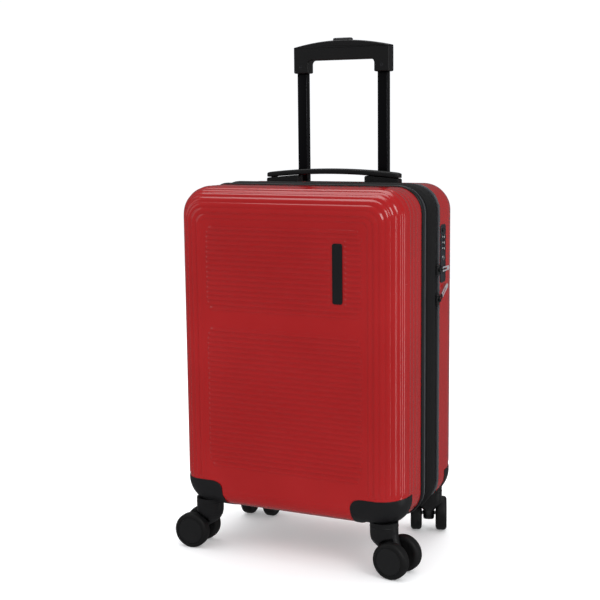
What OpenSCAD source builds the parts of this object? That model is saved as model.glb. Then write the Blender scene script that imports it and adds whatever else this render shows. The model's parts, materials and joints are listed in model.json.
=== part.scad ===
// Cabin-size hard shell suitcase on four double casters, with an expanding zip band,
// a combination lock, a carry handle and a telescopic trolley handle drawn half out.
// X runs across the case, Y from its front (-Y) to its back (+Y), Z up from the floor.
// The origin is on the floor under the middle of the body.

/* [Body] */
// Width of the body, side to side
body_w = 345; // [300:1:420]
// Height of the body, without wheels and handles
body_h = 470; // [400:1:570]
// Height of the body's underside above the floor
body_z = 66; // [66:1:80]
// Depth of the front shell
front_d = 90; // [75:1:110]
// Depth of the zip band between the shells
band_d = 76; // [64:1:92]
// Depth of the back shell
back_d = 80; // [75:1:110]
// Wall of both shells
shell_t = 2.6; // [2:0.2:3.2]
// Radius of the body's four outline corners
corner_r = 38; // [32:1:46]
// Rounding of the face's edge, measured across the face
edge_in = 34; // [28:1:40]
// Rounding of the face's edge, measured along the depth
edge_deep = 46; // [38:1:50]

/* [Face ribs] */
// Height of the panel ribs above the face
rib_h = 1.6; // [1:0.2:2.4]
// Distance from one panel rib to the next
rib_pitch = 7.3; // [6:0.1:9]
// Half width of the ribbed panels
panel_hw = 120.5; // [100:0.5:125]
// Distance from the top of the body to the upper panel
panel_top = 53; // [48:1:70]
// Height of the upper panel
upper_h = 122; // [90:1:140]
// Smooth strip between the panels
panel_gap = 23.5; // [15:0.5:40]
// Distance from the bottom of the body to the lower panel
panel_foot = 65.5; // [55:0.5:80]

/* [Nameplate] */
// Width of the nameplate
plate_w = 15; // [12:1:20]
// Height of the nameplate
plate_h = 83; // [60:1:90]
// Distance from the middle of the body to the nameplate's centre
plate_x = 85; // [70:1:95]

/* [Corner housings] */
// Width of a housing's front wing, from the side of the body
housing_w = 71; // [62:1:76]
// Height of a housing above the underside of the body
housing_h = 44; // [38:1:50]
// Depth of a housing's side wing, from the face of the body
housing_d = 56; // [54:1:60]
// Gap between a housing and the edge of its cut-out
housing_gap = 0.3; // [0.2:0.1:0.6]
// Wall of a housing behind the shell
housing_t = 2.5; // [2:0.1:3.5]

/* [Casters] */
// Distance of a caster's swivel axis from the side of the body
caster_in = 32.5; // [30:0.5:38]
// Distance of a caster's swivel axis from the face of the body
caster_deep = 33; // [31:0.5:36]
// Radius of the wheels
wheel_r = 26; // [22:0.5:27]
// Width of one wheel
wheel_w = 17; // [13:0.5:18]
// Distance between the middles of a caster's two wheels
wheel_gap = 38; // [37:0.5:42]
// Distance from the swivel axis to the axle
trail = 21; // [17:0.5:23]
// Radius of the fork's round top
fork_r = 20; // [18:0.5:21]
// Radius of the wheel axle
axle_r = 3; // [2.5:0.1:3.5]
// Radius of the kingpin
kingpin_r = 4; // [3.5:0.1:5]
// Play of a turning part round its pin, on the radius
run_play = 0.05; // [0.02:0.01:0.08]

/* [Trolley] */
// Distance from one tube's centre to the other's
tube_span = 132; // [115:1:140]
// Width of the inner tube
tube_w = 16; // [14:0.5:18]
// Depth of the inner tube
tube_d = 12; // [10:0.5:14]
// Wall of the tubes
tube_t = 1.2; // [1:0.1:1.5]
// Gap between one tube and the next
tube_play = 0.4; // [0.3:0.1:0.6]
// Distance of the tubes' centres from the back of the body
tube_deep = 31; // [30:0.5:34]
// Travel of each stage of the trolley
stage = 201; // [170:1:205]
// Depth of the pocket that takes the grip
pocket_d = 40; // [38:1:44]
// Height of the grip's legs
leg_h = 19; // [18:1:24]
// Height of the grip's bar at its middle
bar_h = 29; // [26:1:32]
// Depth of the grip, front to back
grip_d = 20; // [18:1:22]
// Drop of the grip's bar from its middle to its ends
bar_drop = 9; // [4:1:9]
// Length of the release button
button_l = 30; // [24:1:36]
// Travel of the release button
button_travel = 4; // [3:0.5:4]

/* [Carry handle] */
// Distance between the carry handle's posts
handle_span = 196; // [170:1:210]
// Width of the carry handle's strap
handle_w = 18; // [14:1:18]
// Thickness of the carry handle's strap
handle_t = 8; // [6:0.5:10]
// Height of the strap's underside above the body at its middle
handle_lift = 13; // [11:0.5:16]
// Radius of the posts
post_r = 5; // [4:0.5:6]
// Travel of the carry handle
handle_travel = 12; // [8:1:12]

/* [Lock and zips] */
// Width of the lock plate
lock_w = 21; // [20:0.5:24]
// Height of the lock plate
lock_h = 84; // [80:1:92]
// Distance from the top of the body to the lock plate
lock_top = 58; // [50:1:70]
// Distance from one number dial to the next
dial_pitch = 8.3; // [7.5:0.1:9]
// Radius of the number dials
dial_r = 7; // [6:0.5:7]
// Length of a zip pull from its pivot to its tip
pull_l = 42; // [36:1:44]
// Thickness of the zip tapes
tape_t = 1.6; // [1.2:0.1:2]

/* [Hidden] */
$fn = 64;
eps = 0.01;          // how far a cut runs past the face it opens
left = -1;
right = 1;
front = -1;
back = 1;

body_d = front_d + band_d + back_d;
body_top = body_z + body_h;
face_y = body_d / 2;                    // both faces' rib tops, from the middle
front_rim = -face_y + front_d;
back_rim = face_y - back_d;

// Edge steps: slabs whose insets follow a quarter ellipse from the face to the side
steps = 6;
step_power = 1.5;
function step_depth(k) = edge_deep * pow(k / steps, step_power);
function edge_inset(d) = d >= edge_deep ? 0 : edge_in * (1 - sqrt(1 - pow((edge_deep - d) / edge_deep, 2)));

// Panels
upper_z1 = body_top - panel_top;
upper_z0 = upper_z1 - upper_h;
lower_z1 = upper_z0 - panel_gap;
lower_z0 = body_z + panel_foot;
rib_fill = 0.7;                         // part of the pitch that a rib takes
rib_short = 5;                          // how much shorter a panel's end ribs are

// Nameplate
plate_z = (upper_z0 + upper_z1) / 2;
plate_t = 1.6;
plate_r = 3;
plate_margin = 1.5;

// Band: trims, zips and the strip between them, from front to back
trim_w = 11;
trim_lip = 10;                          // how far a trim reaches into its shell
trim_t = 2;
zip_w = 9;                              // half of a zip: tape and coil
trim_in = 1;
tape_in = 1.6;
zip_gap = 0.1;                          // between the two halves of a closed zip
back_trim_w = 5;
back_zip_w = 6;
main_zip_y = back_rim - back_trim_w - back_zip_w;
exp_zip_y = front_rim + trim_w + zip_w;
coil_w = 1.2;
coil_t = 2.6;
gusset_in = 5;
gusset_t = 2;
gusset_w = 16;

// Linings stand off the shell by the housings' wall and a gap
lining_t = 1.2;
lining_in = shell_t + housing_t + 0.3;
lining_edge = 4;                        // from the rim back to the lining's edge
hump_gap = 5;

// Trolley
tube_x = tube_span / 2;
tube_y = face_y - tube_deep;
function stage_w(n) = tube_w + 2 * n * (tube_t + tube_play);
function stage_d(n) = tube_d + 2 * n * (tube_t + tube_play);
pocket_floor = body_top - pocket_d;
floor_t = 3;
leg_gap = 2;                            // under the grip's legs when it is pushed home
leg_z = pocket_floor + leg_gap + stage; // legs' lower ends with the inner stage drawn out
tube_grip = leg_h + 3;                  // length of inner tube held in the grip
leg_w = 24.5;
grip_hw = tube_x + leg_w / 2;
bar_z = leg_z + leg_h;
crown_z = bar_z + bar_h;
crown_r = (grip_hw * grip_hw + bar_drop * bar_drop) / (2 * bar_drop);
cover_h = 10;                           // crown above the grip's split line
split_z = crown_z - cover_h - 1;
pocket_side = 3.5;                      // room round the grip in its pocket
dock_wall = 4;
dock_hw = grip_hw + pocket_side + dock_wall;
dock_hd = grip_d / 2 + 3 + dock_wall;
foot_z1 = body_z + 34;
outer_z0 = foot_z1 - 12;
middle_z0 = outer_z0 + 4;
inner_z0 = leg_z - 310;
yoke_h = 5;
yoke_d = 6;
rod_r = 1.6;
button_w = 11;
button_proud = 3.5;
yoke_z = bar_z + 9;
tube_room = 3;                          // round the outer tubes inside the lining's ridges

// Straps inside the back half
strap_w = 25;
strap_t = 1.4;
strap_y = tube_y - stage_d(2) / 2 - tube_room - lining_t - 6;
strap_low = body_z + 120;               // where they meet the sides of the lining
strap_high = body_top - 105;
buckle = [44, 8, 30];

// Mesh pocket in the front half
pocket = [210, 1.5, 150];
pocket_z = body_z + 90;

// Carry handle
handle_y = back_rim + handle_w / 2 + 0.5;
post_x = handle_span / 2;
strap_hl = post_x + 11;
strap_z = body_top + handle_lift;       // strap's underside at its middle
strap_drop = 6;
strap_r = (strap_hl * strap_hl + strap_drop * strap_drop) / (2 * strap_drop);
mount_gap = 0.5;                        // between a mount's top and the strap
mount_x0 = post_x - 45;
mount_x1 = post_x + 13;
collar_r = post_r + 2.5;
collar_h = 3;
nut_r = post_r + 4;
nut_h = 4;
sleeve_r = nut_r - 2;                   // sleeve through the shell
nut_z = body_top - shell_t - nut_h;
post_z0 = nut_z - handle_travel - collar_h - 1;

// Lock
lock_y = back_rim + 0.5 + lock_w / 2;
lock_z1 = body_top - lock_top;
lock_z0 = lock_z1 - lock_h;
lock_plate_t = 1.6;
lock_face = body_w / 2 + lock_plate_t;
lock_deep = 20;
lock_rim = 1.5;                         // how far the plate laps over its cut-out
lock_room = 0.3;                        // round the lock's body
dial_proud = 1.2;
dial_x = lock_face + dial_proud - dial_r;
dial_w = 6.6;
dial_play = 0.4;
dial_z = lock_z1 - 18;
shaft_r = 1.5;
shaft_l = 2 * dial_pitch + dial_w + 6;  // centred on the middle dial
key_r = 4;
key_deep = 15;
key_z = lock_z1 - 48;
release_z = lock_z1 - 8;
release_w = 9;
release_h = 5;
release_proud = 1;
release_deep = 6;
release_gap = 0.2;

// Zip sliders and pulls
slider_w = 10;
slider_l = 16;
slider_t = 3.6;
slider_lift = 0.3;
slider_x = body_w / 2 - trim_in + slider_lift;
pivot_x = slider_x + slider_t;
pivot_r = 1.6;
pull_t = 1.4;
pull_w = 7;
pull_lift = 0.4;
upper_slider_z = lock_z1 - 64;
lower_slider_z = lock_z0 - 23;
lower_pull_angle = 29;

// Casters: [x side, y side, direction of the trail]
fl = [left, front, 184];
fr = [right, front, -7];
bl = [left, back, -85];
br = [right, back, 110];
seam_z = body_z + 9;                    // underside of the housing round the fork
fork_top = seam_z - 0.5;
cup_z = 56;
cone_z = 40;
cone_r = 15;
spine_w = wheel_gap - wheel_w - 3;
wheel_clear = 1.3;
boss_r = 13;
boss_z = body_z + 34;
head_r = kingpin_r + 2;
head_h = 3;
head_z = cone_z + 6;
hub_depth = 12;                         // depth of a wheel's blind bore
tread_r = 5;                            // rounding of the tread's edges
function caster_x(c) = c[0] * (body_w / 2 - caster_in);
function caster_y(c) = c[1] * (face_y - caster_deep);

// ---------- Shared shapes ----------

module outline(inset) {
    r = max(corner_r - inset, 2);
    hw = body_w / 2 - inset;
    z0 = body_z + inset;
    z1 = body_top - inset;
    translate([-hw + r, z0]) square([2 * hw - 2 * r, z1 - z0]);
    translate([-hw, z0 + r]) square([2 * hw, z1 - z0 - 2 * r]);
    for (x = [-hw + r, hw - r], z = [z0 + r, z1 - r]) translate([x, z]) circle(r);
}

// The body's outline, inset, from y0 to y1
module slab(y0, y1, inset) {
    translate([0, y1, 0]) rotate([90, 0, 0]) linear_extrude(y1 - y0) outline(inset);
}

module ring(y0, y1, inset, t) {
    difference() {
        slab(y0, y1, inset);
        slab(y0 - 1, y1 + 1, inset + t);
    }
}

// One half's outer form, moved in by inset all over and open-ended at depth reach.
// It is built as the front half and turned about Z for the back half.
module half_form(side, inset, reach) {
    face = rib_h + inset;
    mirror([0, side == back ? 1 : 0, 0]) translate([0, -face_y, 0]) {
        for (k = [0 : steps - 1])
            slab(face + step_depth(k), face + step_depth(k + 1) + 1,
                 inset + edge_inset((step_depth(k) + step_depth(k + 1)) / 2));
        slab(face + edge_deep, reach, inset);
    }
}

module panel_ribs_2d(z0, z1) {
    n = round((z1 - z0) / rib_pitch);
    p = (z1 - z0) / n;
    for (k = [0 : n - 1])
        translate([0, z0 + (k + 0.5) * p])
            square([2 * (panel_hw - ((k == 0 || k == n - 1) ? rib_short : 0)), p * rib_fill], center = true);
}

module plate_outline(grow) {
    translate([plate_x - plate_w / 2 - grow, plate_z - plate_h / 2 - grow])
        square([plate_w + 2 * grow, plate_h + 2 * grow]);
}

// Ribs of both panels, standing on a face
module face_ribs(side, with_plate) {
    mirror([0, side == back ? 1 : 0, 0])
        translate([0, -face_y + rib_h + eps, 0]) rotate([90, 0, 0]) linear_extrude(rib_h + eps)
            difference() {
                union() {
                    panel_ribs_2d(upper_z0, upper_z1);
                    panel_ribs_2d(lower_z0, lower_z1);
                }
                if (with_plate) plate_outline(plate_margin);
            }
}

// Corner of the body that a housing fills, grown or shrunk by grow
module corner_prism(sx, sy, grow) {
    x0 = body_w / 2 - housing_w - grow;
    z1 = body_z + housing_h + grow;
    y0 = face_y - housing_d - grow;
    r = 15;
    mirror([sx == left ? 1 : 0, 0, 0]) mirror([0, sy == front ? 1 : 0, 0])
        translate([0, face_y + 1, 0]) rotate([90, 0, 0]) linear_extrude(face_y + 1 - y0) {
            translate([x0 + r, body_z - 1]) square([housing_w + grow + 1 - r, z1 - body_z + 1]);
            translate([x0, body_z - 1]) square([r + 1, z1 - r - body_z + 1]);
            translate([x0 + r, z1 - r]) circle(r);
        }
}

module housing_cuts(sy) {
    for (sx = [left, right]) corner_prism(sx, sy, housing_gap);
}

// ---------- Shells, linings and housings ----------

module shell(side) {
    difference() {
        union() {
            half_form(side, 0, side == front ? front_d : back_d);
            face_ribs(side, side == front);
        }
        half_form(side, shell_t, (side == front ? front_d : back_d) + 1);
        housing_cuts(side);
    }
}

module front_shell() {
    color("firebrick") shell(front);
}

module back_shell() {
    color("firebrick") difference() {
        shell(back);
        dock_box(0.2);
        translate([body_w / 2 - 8, lock_y - lock_w / 2 + lock_rim, lock_z0 + lock_rim])
            cube([10, lock_w - 2 * lock_rim, lock_h - 2 * lock_rim]);
        for (s = [left, right])
            translate([s * post_x, handle_y, body_top - 8]) cylinder(r = sleeve_r + 0.5, h = 10);
    }
}

// Walls of a lining: a skin at the lining's inset, with humps over what lies behind it
module lining(side) {
    depth = (side == front ? front_d : back_d) - lining_edge;
    difference() {
        union() {
            difference() {
                half_form(side, lining_in, depth);
                half_form(side, lining_in + lining_t, depth + 1);
            }
            intersection() {
                half_form(side, lining_in, depth);
                humps(side, lining_t);
            }
        }
        humps(side, 0);
        if (side == back) lining_cuts();
    }
}

module humps(side, grow) {
    for (sx = [left, right]) corner_prism(sx, side, hump_gap + grow);
    if (side == back) for (sx = [left, right])
        translate([sx * tube_x - stage_w(2) / 2 - tube_room - grow,
                   tube_y - stage_d(2) / 2 - tube_room - grow, body_z])
            cube([stage_w(2) + 2 * (tube_room + grow), tube_deep + stage_d(2), body_h]);
}

// Room in the back lining for the dock, the lock and the carry handle's posts
module lining_cuts() {
    dock_box(1.5);
    translate([body_w / 2 - lock_deep - 2, lock_y - lock_w / 2 - 8, lock_z0 - 1])
        cube([lock_deep, lock_w + 10, lock_h + 2]);
    for (s = [left, right]) translate([s * post_x, handle_y, post_z0 - 2]) cylinder(r = nut_r + 1, h = 40);
}

module front_lining() {
    color("dimgray") lining(front);
}

module back_lining() {
    color("dimgray") lining(back);
}

module mesh_pocket() {
    color("black") translate([-pocket.x / 2, -face_y + rib_h + lining_in + lining_t + 0.3, pocket_z])
        cube(pocket);
}

module housing(sx, sy) {
    c = [sx, sy];
    color([0.08, 0.08, 0.085]) difference() {
        union() {
            // flush outer skin
            intersection() {
                difference() {
                    half_form(sy, 0, edge_deep + 20);
                    half_form(sy, shell_t + housing_t, edge_deep + 21);
                }
                corner_prism(sx, sy, 0);
            }
            // flange that laps inside the shell
            intersection() {
                difference() {
                    half_form(sy, shell_t, edge_deep + 20);
                    half_form(sy, shell_t + housing_t, edge_deep + 21);
                }
                corner_prism(sx, sy, 4);
            }
            // boss that holds the kingpin, and the floor round the fork
            translate([caster_x(c), caster_y(c), seam_z]) cylinder(r = boss_r, h = boss_z - seam_z);
            intersection() {
                half_form(sy, 0, edge_deep + 20);
                translate([caster_x(c), caster_y(c), seam_z]) cylinder(r = fork_r + 3, h = 4);
            }
        }
        translate([caster_x(c), caster_y(c), body_z - 5]) cylinder(r = fork_r + 1, h = seam_z - body_z + 5);
        translate([caster_x(c), caster_y(c), seam_z - 1]) cylinder(r = kingpin_r, h = boss_z);
    }
}

module housing_front_left() { housing(left, front); }
module housing_front_right() { housing(right, front); }
module housing_back_left() { housing(left, back); }
module housing_back_right() { housing(right, back); }

module kingpin(c) {
    translate([caster_x(c), caster_y(c), 0]) {
        translate([0, 0, head_z + head_h - eps]) cylinder(r = kingpin_r, h = boss_z - head_z);
        translate([0, 0, head_z]) cylinder(r = head_r, h = head_h);
        translate([0, 0, boss_z]) cylinder(r = head_r + 1, h = head_h);
    }
}

module kingpins_front() {
    color("silver") { kingpin(fl); kingpin(fr); }
}

module kingpins_back() {
    color("silver") { kingpin(bl); kingpin(br); }
}

module nameplate() {
    color([0.05, 0.05, 0.05]) translate([0, -face_y + rib_h, 0]) rotate([90, 0, 0])
        linear_extrude(plate_t) translate([plate_x, plate_z]) {
            square([plate_w - 2 * plate_r, plate_h], center = true);
            square([plate_w, plate_h - 2 * plate_r], center = true);
            for (x = [-1, 1], z = [-1, 1])
                translate([x * (plate_w / 2 - plate_r), z * (plate_h / 2 - plate_r)]) circle(plate_r);
        }
}

// ---------- Zip band ----------

module trim(side, w) {
    rim = side == front ? front_rim : back_rim;
    edge = rim - side * w;
    lip = rim + side * trim_lip;
    ring(min(rim, edge), max(rim, edge), trim_in, shell_t + trim_t - trim_in);
    ring(min(rim, lip), max(rim, lip), shell_t, trim_t);
}

module front_trim() {
    color([0.1, 0.1, 0.1]) trim(front, trim_w);
}

module back_trim() {
    color([0.1, 0.1, 0.1]) difference() {
        trim(back, back_trim_w);
        translate([body_w / 2 - lock_deep - 1, lock_y - lock_w / 2 + lock_rim - lock_room,
                   lock_z0 + lock_rim - lock_room])
            cube([30, lock_w, lock_h - 2 * (lock_rim - lock_room)]);
        for (s = [left, right]) translate([s * post_x, handle_y, body_top - 20])
            cylinder(r = nut_r + 0.3, h = 30);
    }
}

module zip_half(y0, y1, coil_y) {
    ring(y0, y1, tape_in, tape_t);
    ring(coil_y - coil_w / 2, coil_y + coil_w / 2, trim_in, coil_t);
}

module expansion_zip() {
    color([0.14, 0.14, 0.15])
        zip_half(front_rim + trim_w, exp_zip_y - zip_gap, exp_zip_y - zip_gap - coil_w / 2);
}

module main_zip_back() {
    color([0.14, 0.14, 0.15])
        zip_half(main_zip_y + zip_gap, main_zip_y + back_zip_w, main_zip_y + zip_gap + coil_w / 2);
}

module main_zip_front() {
    color([0.14, 0.14, 0.15])
        zip_half(main_zip_y - zip_w, main_zip_y - zip_gap, main_zip_y - zip_gap - coil_w / 2);
}

module zip_band() {
    color([0.1, 0.1, 0.1]) {
        ring(exp_zip_y + zip_gap + coil_w, main_zip_y - zip_w, trim_in + 0.8, tape_t + 0.6);
        ring(exp_zip_y + zip_gap, exp_zip_y + zip_gap + coil_w + eps, trim_in, coil_t);
    }
}

module gusset() {
    color([0.1, 0.1, 0.1]) ring(exp_zip_y - gusset_w, exp_zip_y + 2, gusset_in, gusset_t);
}

module slider_and_post() {
    translate([slider_x, -slider_w / 2, -slider_l / 2]) cube([slider_t, slider_w, slider_l]);
    translate([slider_x, 0, 0]) rotate([0, 90, 0])
        cylinder(r = pivot_r, h = slider_t + pull_t + 2 * pull_lift + 0.6);
    translate([pivot_x + pull_t + 2 * pull_lift, 0, 0]) rotate([0, 90, 0])
        cylinder(r = pivot_r + 1, h = 0.8);
}

module slider_upper() {
    color("black") translate([0, main_zip_y, upper_slider_z]) slider_and_post();
}

module slider_lower() {
    color("black") translate([0, main_zip_y, lower_slider_z]) slider_and_post();
}

module pull() {
    translate([pivot_x + pull_lift, 0, 0]) rotate([0, 90, 0]) linear_extrude(pull_t) difference() {
        union() {
            circle(pull_w / 2);
            translate([-pull_w / 2, 0]) square([pull_w, pull_l - pull_w / 2]);
            translate([0, pull_l - pull_w / 2]) circle(pull_w / 2);
        }
        circle(pivot_r + run_play);
        translate([-1.5, 9]) square([3, pull_l - 20]);
    }
}

module pull_upper() {
    color("silver") translate([0, main_zip_y, upper_slider_z]) pull();
}

module pull_lower() {
    color("silver") translate([0, main_zip_y, lower_slider_z]) rotate([lower_pull_angle, 0, 0]) pull();
}

// ---------- Lock ----------

module lock_body() {
    color([0.12, 0.12, 0.13]) difference() {
        union() {
            translate([body_w / 2, lock_y - lock_w / 2, lock_z0]) cube([lock_plate_t, lock_w, lock_h]);
            translate([body_w / 2 - lock_deep, lock_y - lock_w / 2 + lock_rim, lock_z0 + lock_rim])
                cube([lock_deep + eps, lock_w - 2 * lock_rim, lock_h - 2 * lock_rim]);
        }
        for (k = [0 : 2]) translate([dial_x, lock_y, dial_z - k * dial_pitch])
            cylinder(r = dial_r + dial_play, h = dial_w + 2 * dial_play, center = true);
        translate([dial_x, lock_y, dial_z - dial_pitch]) cylinder(r = shaft_r, h = shaft_l, center = true);
        translate([body_w / 2 - key_deep - 0.1, lock_y, key_z]) rotate([0, 90, 0])
            cylinder(r = key_r + run_play, h = 30);
        translate([lock_face - release_deep - 2, lock_y - release_w / 2 - release_gap,
                   release_z - release_h / 2 - release_gap])
            cube([30, release_w + 2 * release_gap, release_h + 2 * release_gap]);
    }
}

module dial_shaft() {
    color("silver") translate([dial_x, lock_y, dial_z - dial_pitch])
        cylinder(r = shaft_r, h = shaft_l, center = true);
}

module dial(k) {
    color("gray") translate([dial_x, lock_y, dial_z - k * dial_pitch]) difference() {
        cylinder(r = dial_r, h = dial_w, center = true);
        cylinder(r = shaft_r + run_play, h = dial_w + 1, center = true);
    }
}

module dial_1() { dial(0); }
module dial_2() { dial(1); }
module dial_3() { dial(2); }

module key_cylinder() {
    color("silver") difference() {
        translate([body_w / 2 - key_deep, lock_y, key_z]) rotate([0, 90, 0])
            cylinder(r = key_r, h = lock_plate_t + key_deep + 0.3);
        translate([lock_face - 6, lock_y - 0.5, key_z - 2.5]) cube([10, 1, 5]);
    }
}

module lock_release() {
    color([0.2, 0.2, 0.2])
        translate([lock_face - release_deep, lock_y - release_w / 2, release_z - release_h / 2])
            cube([release_deep + release_proud, release_w, release_h]);
}

// ---------- Inside straps ----------

module strap(y, s) {
    hw = body_w / 2 - lining_in - lining_t;
    angle = atan2(strap_high - strap_low, 2 * hw);
    mid = (strap_high + strap_low) / 2;
    intersection() {
        translate([0, y + strap_t / 2, mid]) rotate([0, s * angle, 0])
            cube([3 * hw, strap_t, strap_w], center = true);
        half_form(back, lining_in + lining_t, back_d);
    }
}

module cross_straps() {
    color("dimgray") {
        strap(strap_y, 1);
        strap(strap_y + strap_t + 0.2, -1);
    }
}

module strap_buckle() {
    color("black")
        translate([-buckle.x / 2, strap_y - buckle.y - 0.1, (strap_high + strap_low - buckle.z) / 2])
        cube(buckle);
}

// ---------- Trolley ----------

module dock_box(grow) {
    translate([-dock_hw - grow, tube_y - dock_hd - grow, pocket_floor - floor_t - grow])
        cube([2 * (dock_hw + grow), 2 * (dock_hd + grow), pocket_d + floor_t + 2 * grow + 5]);
}

module tube_bars(w, d, z0, z1) {
    for (s = [left, right]) translate([s * tube_x - w / 2, tube_y - d / 2, z0]) cube([w, d, z1 - z0]);
}

module trolley_dock() {
    hw = dock_hw - dock_wall;
    hd = dock_hd - dock_wall;
    color([0.1, 0.1, 0.1]) difference() {
        intersection() {
            half_form(back, 0, back_d);
            dock_box(0);
        }
        translate([-hw, tube_y - hd, pocket_floor]) cube([2 * hw, 2 * hd, pocket_d + 5]);
        tube_bars(stage_w(1) + 2 * tube_play, stage_d(1) + 2 * tube_play,
                  pocket_floor - 10, pocket_floor + 1);
        tube_bars(stage_w(2), stage_d(2), pocket_floor - 10, pocket_floor - 1);
    }
}

// Two tubes of one stage, counted outwards from the inner one
module stage_tubes(n, z0, z1) {
    difference() {
        tube_bars(stage_w(n), stage_d(n), z0, z1);
        tube_bars(stage_w(n) - 2 * tube_t, stage_d(n) - 2 * tube_t, z0 - 1, z1 + 1);
    }
}

module outer_tubes() {
    color([0.15, 0.15, 0.16]) stage_tubes(2, outer_z0, pocket_floor - 1);
}

module middle_tubes() {
    color([0.15, 0.15, 0.16]) stage_tubes(1, middle_z0, pocket_floor - 0.5);
}

module inner_tubes() {
    color([0.08, 0.08, 0.09]) stage_tubes(0, inner_z0, leg_z + tube_grip);
}

module tube_feet() {
    color("black") difference() {
        intersection() {
            half_form(back, shell_t, back_d);
            tube_bars(stage_w(2) + 5, stage_d(2) + 5, body_z, foot_z1);
        }
        tube_bars(stage_w(2), stage_d(2), outer_z0, foot_z1 + 1);
    }
}

// Front view of the grip: crowned bar between two legs
module grip_outline() {
    intersection() {
        union() {
            translate([-grip_hw, bar_z]) square([2 * grip_hw, bar_h]);
            for (x = [-grip_hw, grip_hw - leg_w]) translate([x, leg_z]) square([leg_w, leg_h + eps]);
        }
        translate([0, crown_z - crown_r]) circle(crown_r, $fn = 256);
    }
}

module grip_solid() {
    translate([0, tube_y + grip_d / 2, 0]) rotate([90, 0, 0]) linear_extrude(grip_d) grip_outline();
}

module grip_room() {
    hw = tube_x + 4;
    translate([-hw, tube_y - yoke_d / 2 - 0.3, yoke_z - button_travel - 0.5])
        cube([2 * hw, yoke_d + 0.6, yoke_h + button_travel + 1]);
    for (s = [left, right]) translate([s * tube_x, tube_y, leg_z])
        cylinder(r = rod_r + 0.4, h = yoke_z - leg_z);
}

// Everything below the line where the grip's cover meets its base
module below_split() {
    translate([-grip_hw - 1, tube_y - grip_d, leg_z - 1])
        cube([2 * grip_hw + 2, 2 * grip_d, split_z - leg_z + 1]);
}

module button_room() {
    gap = 0.2;
    translate([-button_l / 2 - gap, tube_y - button_w / 2 - gap, yoke_z + yoke_h - button_travel - gap])
        cube([button_l + 2 * gap, button_w + 2 * gap, bar_h]);
}

module grip_base() {
    color([0.07, 0.07, 0.075]) difference() {
        intersection() {
            grip_solid();
            below_split();
        }
        grip_room();
        button_room();
        tube_bars(tube_w, tube_d, leg_z - 1, leg_z + tube_grip);
    }
}

module grip_cover() {
    color([0.07, 0.07, 0.075]) difference() {
        grip_solid();
        below_split();
        grip_room();
        button_room();
    }
}

module release_button() {
    color([0.2, 0.2, 0.2]) translate([-button_l / 2, tube_y - button_w / 2, yoke_z + yoke_h])
        cube([button_l, button_w, crown_z + button_proud - yoke_z - yoke_h]);
}

module release_yoke() {
    color("gray") {
        translate([-tube_x - 3, tube_y - yoke_d / 2, yoke_z]) cube([2 * tube_x + 6, yoke_d, yoke_h]);
        for (s = [left, right])
            translate([s * tube_x, tube_y, inner_z0 + 10])
                cylinder(r = rod_r, h = yoke_z - inner_z0 - 10 + eps);
    }
}

// ---------- Carry handle ----------

module handle_mounts() {
    color([0.08, 0.08, 0.08]) difference() {
        union() {
            // each mount follows the strap's underside
            translate([0, handle_y + handle_w / 2, 0]) rotate([90, 0, 0]) linear_extrude(handle_w)
                intersection() {
                    for (x = [-mount_x1, mount_x0])
                        translate([x, body_top]) square([mount_x1 - mount_x0, handle_lift]);
                    translate([0, strap_z - mount_gap - strap_r]) circle(strap_r, $fn = 360);
                }
            for (s = [left, right]) translate([s * post_x, handle_y, nut_z]) {
                cylinder(r = nut_r, h = nut_h);
                cylinder(r = sleeve_r, h = body_top - nut_z + eps);
            }
        }
        for (s = [left, right])
            translate([s * post_x, handle_y, nut_z - 1]) cylinder(r = post_r + run_play, h = 40);
    }
}

module carry_handle() {
    top = strap_z + handle_t;
    color([0.08, 0.08, 0.08]) {
        translate([0, handle_y + handle_w / 2, 0]) rotate([90, 0, 0]) linear_extrude(handle_w)
            intersection() {
                translate([0, top - strap_r]) circle(strap_r, $fn = 360);
                difference() {
                    translate([-strap_hl, strap_z - strap_drop - 1])
                        square([2 * strap_hl, handle_t + strap_drop + 2]);
                    translate([0, strap_z - strap_r]) circle(strap_r, $fn = 360);
                }
            }
        for (s = [left, right]) translate([s * post_x, handle_y, 0]) {
            translate([0, 0, post_z0]) cylinder(r = post_r, h = strap_z - post_z0);
            translate([0, 0, post_z0]) cylinder(r = collar_r, h = collar_h);
        }
    }
}

// ---------- Casters ----------

module at_caster(c) {
    translate([caster_x(c), caster_y(c), 0]) rotate([0, 0, c[2]]) children();
}

// Cylinder along the axle from y0 to y1, in the caster's own frame
module on_axle(r, y0, y1) {
    translate([trail, y1, wheel_r]) rotate([90, 0, 0]) cylinder(r = r, h = y1 - y0);
}

module fork(c) {
    color([0.09, 0.09, 0.095]) at_caster(c) difference() {
        union() {
            difference() {
                rotate_extrude()
                    polygon([[0, cone_z], [cone_r, cone_z], [fork_r, cup_z],
                             [fork_r, fork_top], [0, fork_top]]);
                for (side = [[-40, -spine_w / 2], [spine_w / 2, 40]])
                    on_axle(wheel_r + wheel_clear, side[0], side[1]);
            }
            translate([0, spine_w / 2, 0]) rotate([90, 0, 0]) linear_extrude(spine_w) {
                polygon([[-cone_r + 1, cone_z], [-cone_r + 1, cup_z], [fork_r - 1, cup_z],
                         [trail + 10, wheel_r], [trail, wheel_r - 10], [trail - 9, wheel_r - 8]]);
                translate([trail, wheel_r]) circle(10.5);
            }
        }
        translate([0, 0, head_z + head_h + 0.2]) cylinder(r = kingpin_r + run_play, h = 60);
        translate([0, 0, 0]) cylinder(r = head_r + 0.3, h = head_z + head_h + 0.2 + eps);
        on_axle(axle_r, -40, 40);
    }
}

module axle(c) {
    reach = wheel_gap / 2 - wheel_w / 2 + hub_depth - 0.3;
    color("silver") at_caster(c) on_axle(axle_r, -reach, reach);
}

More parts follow.
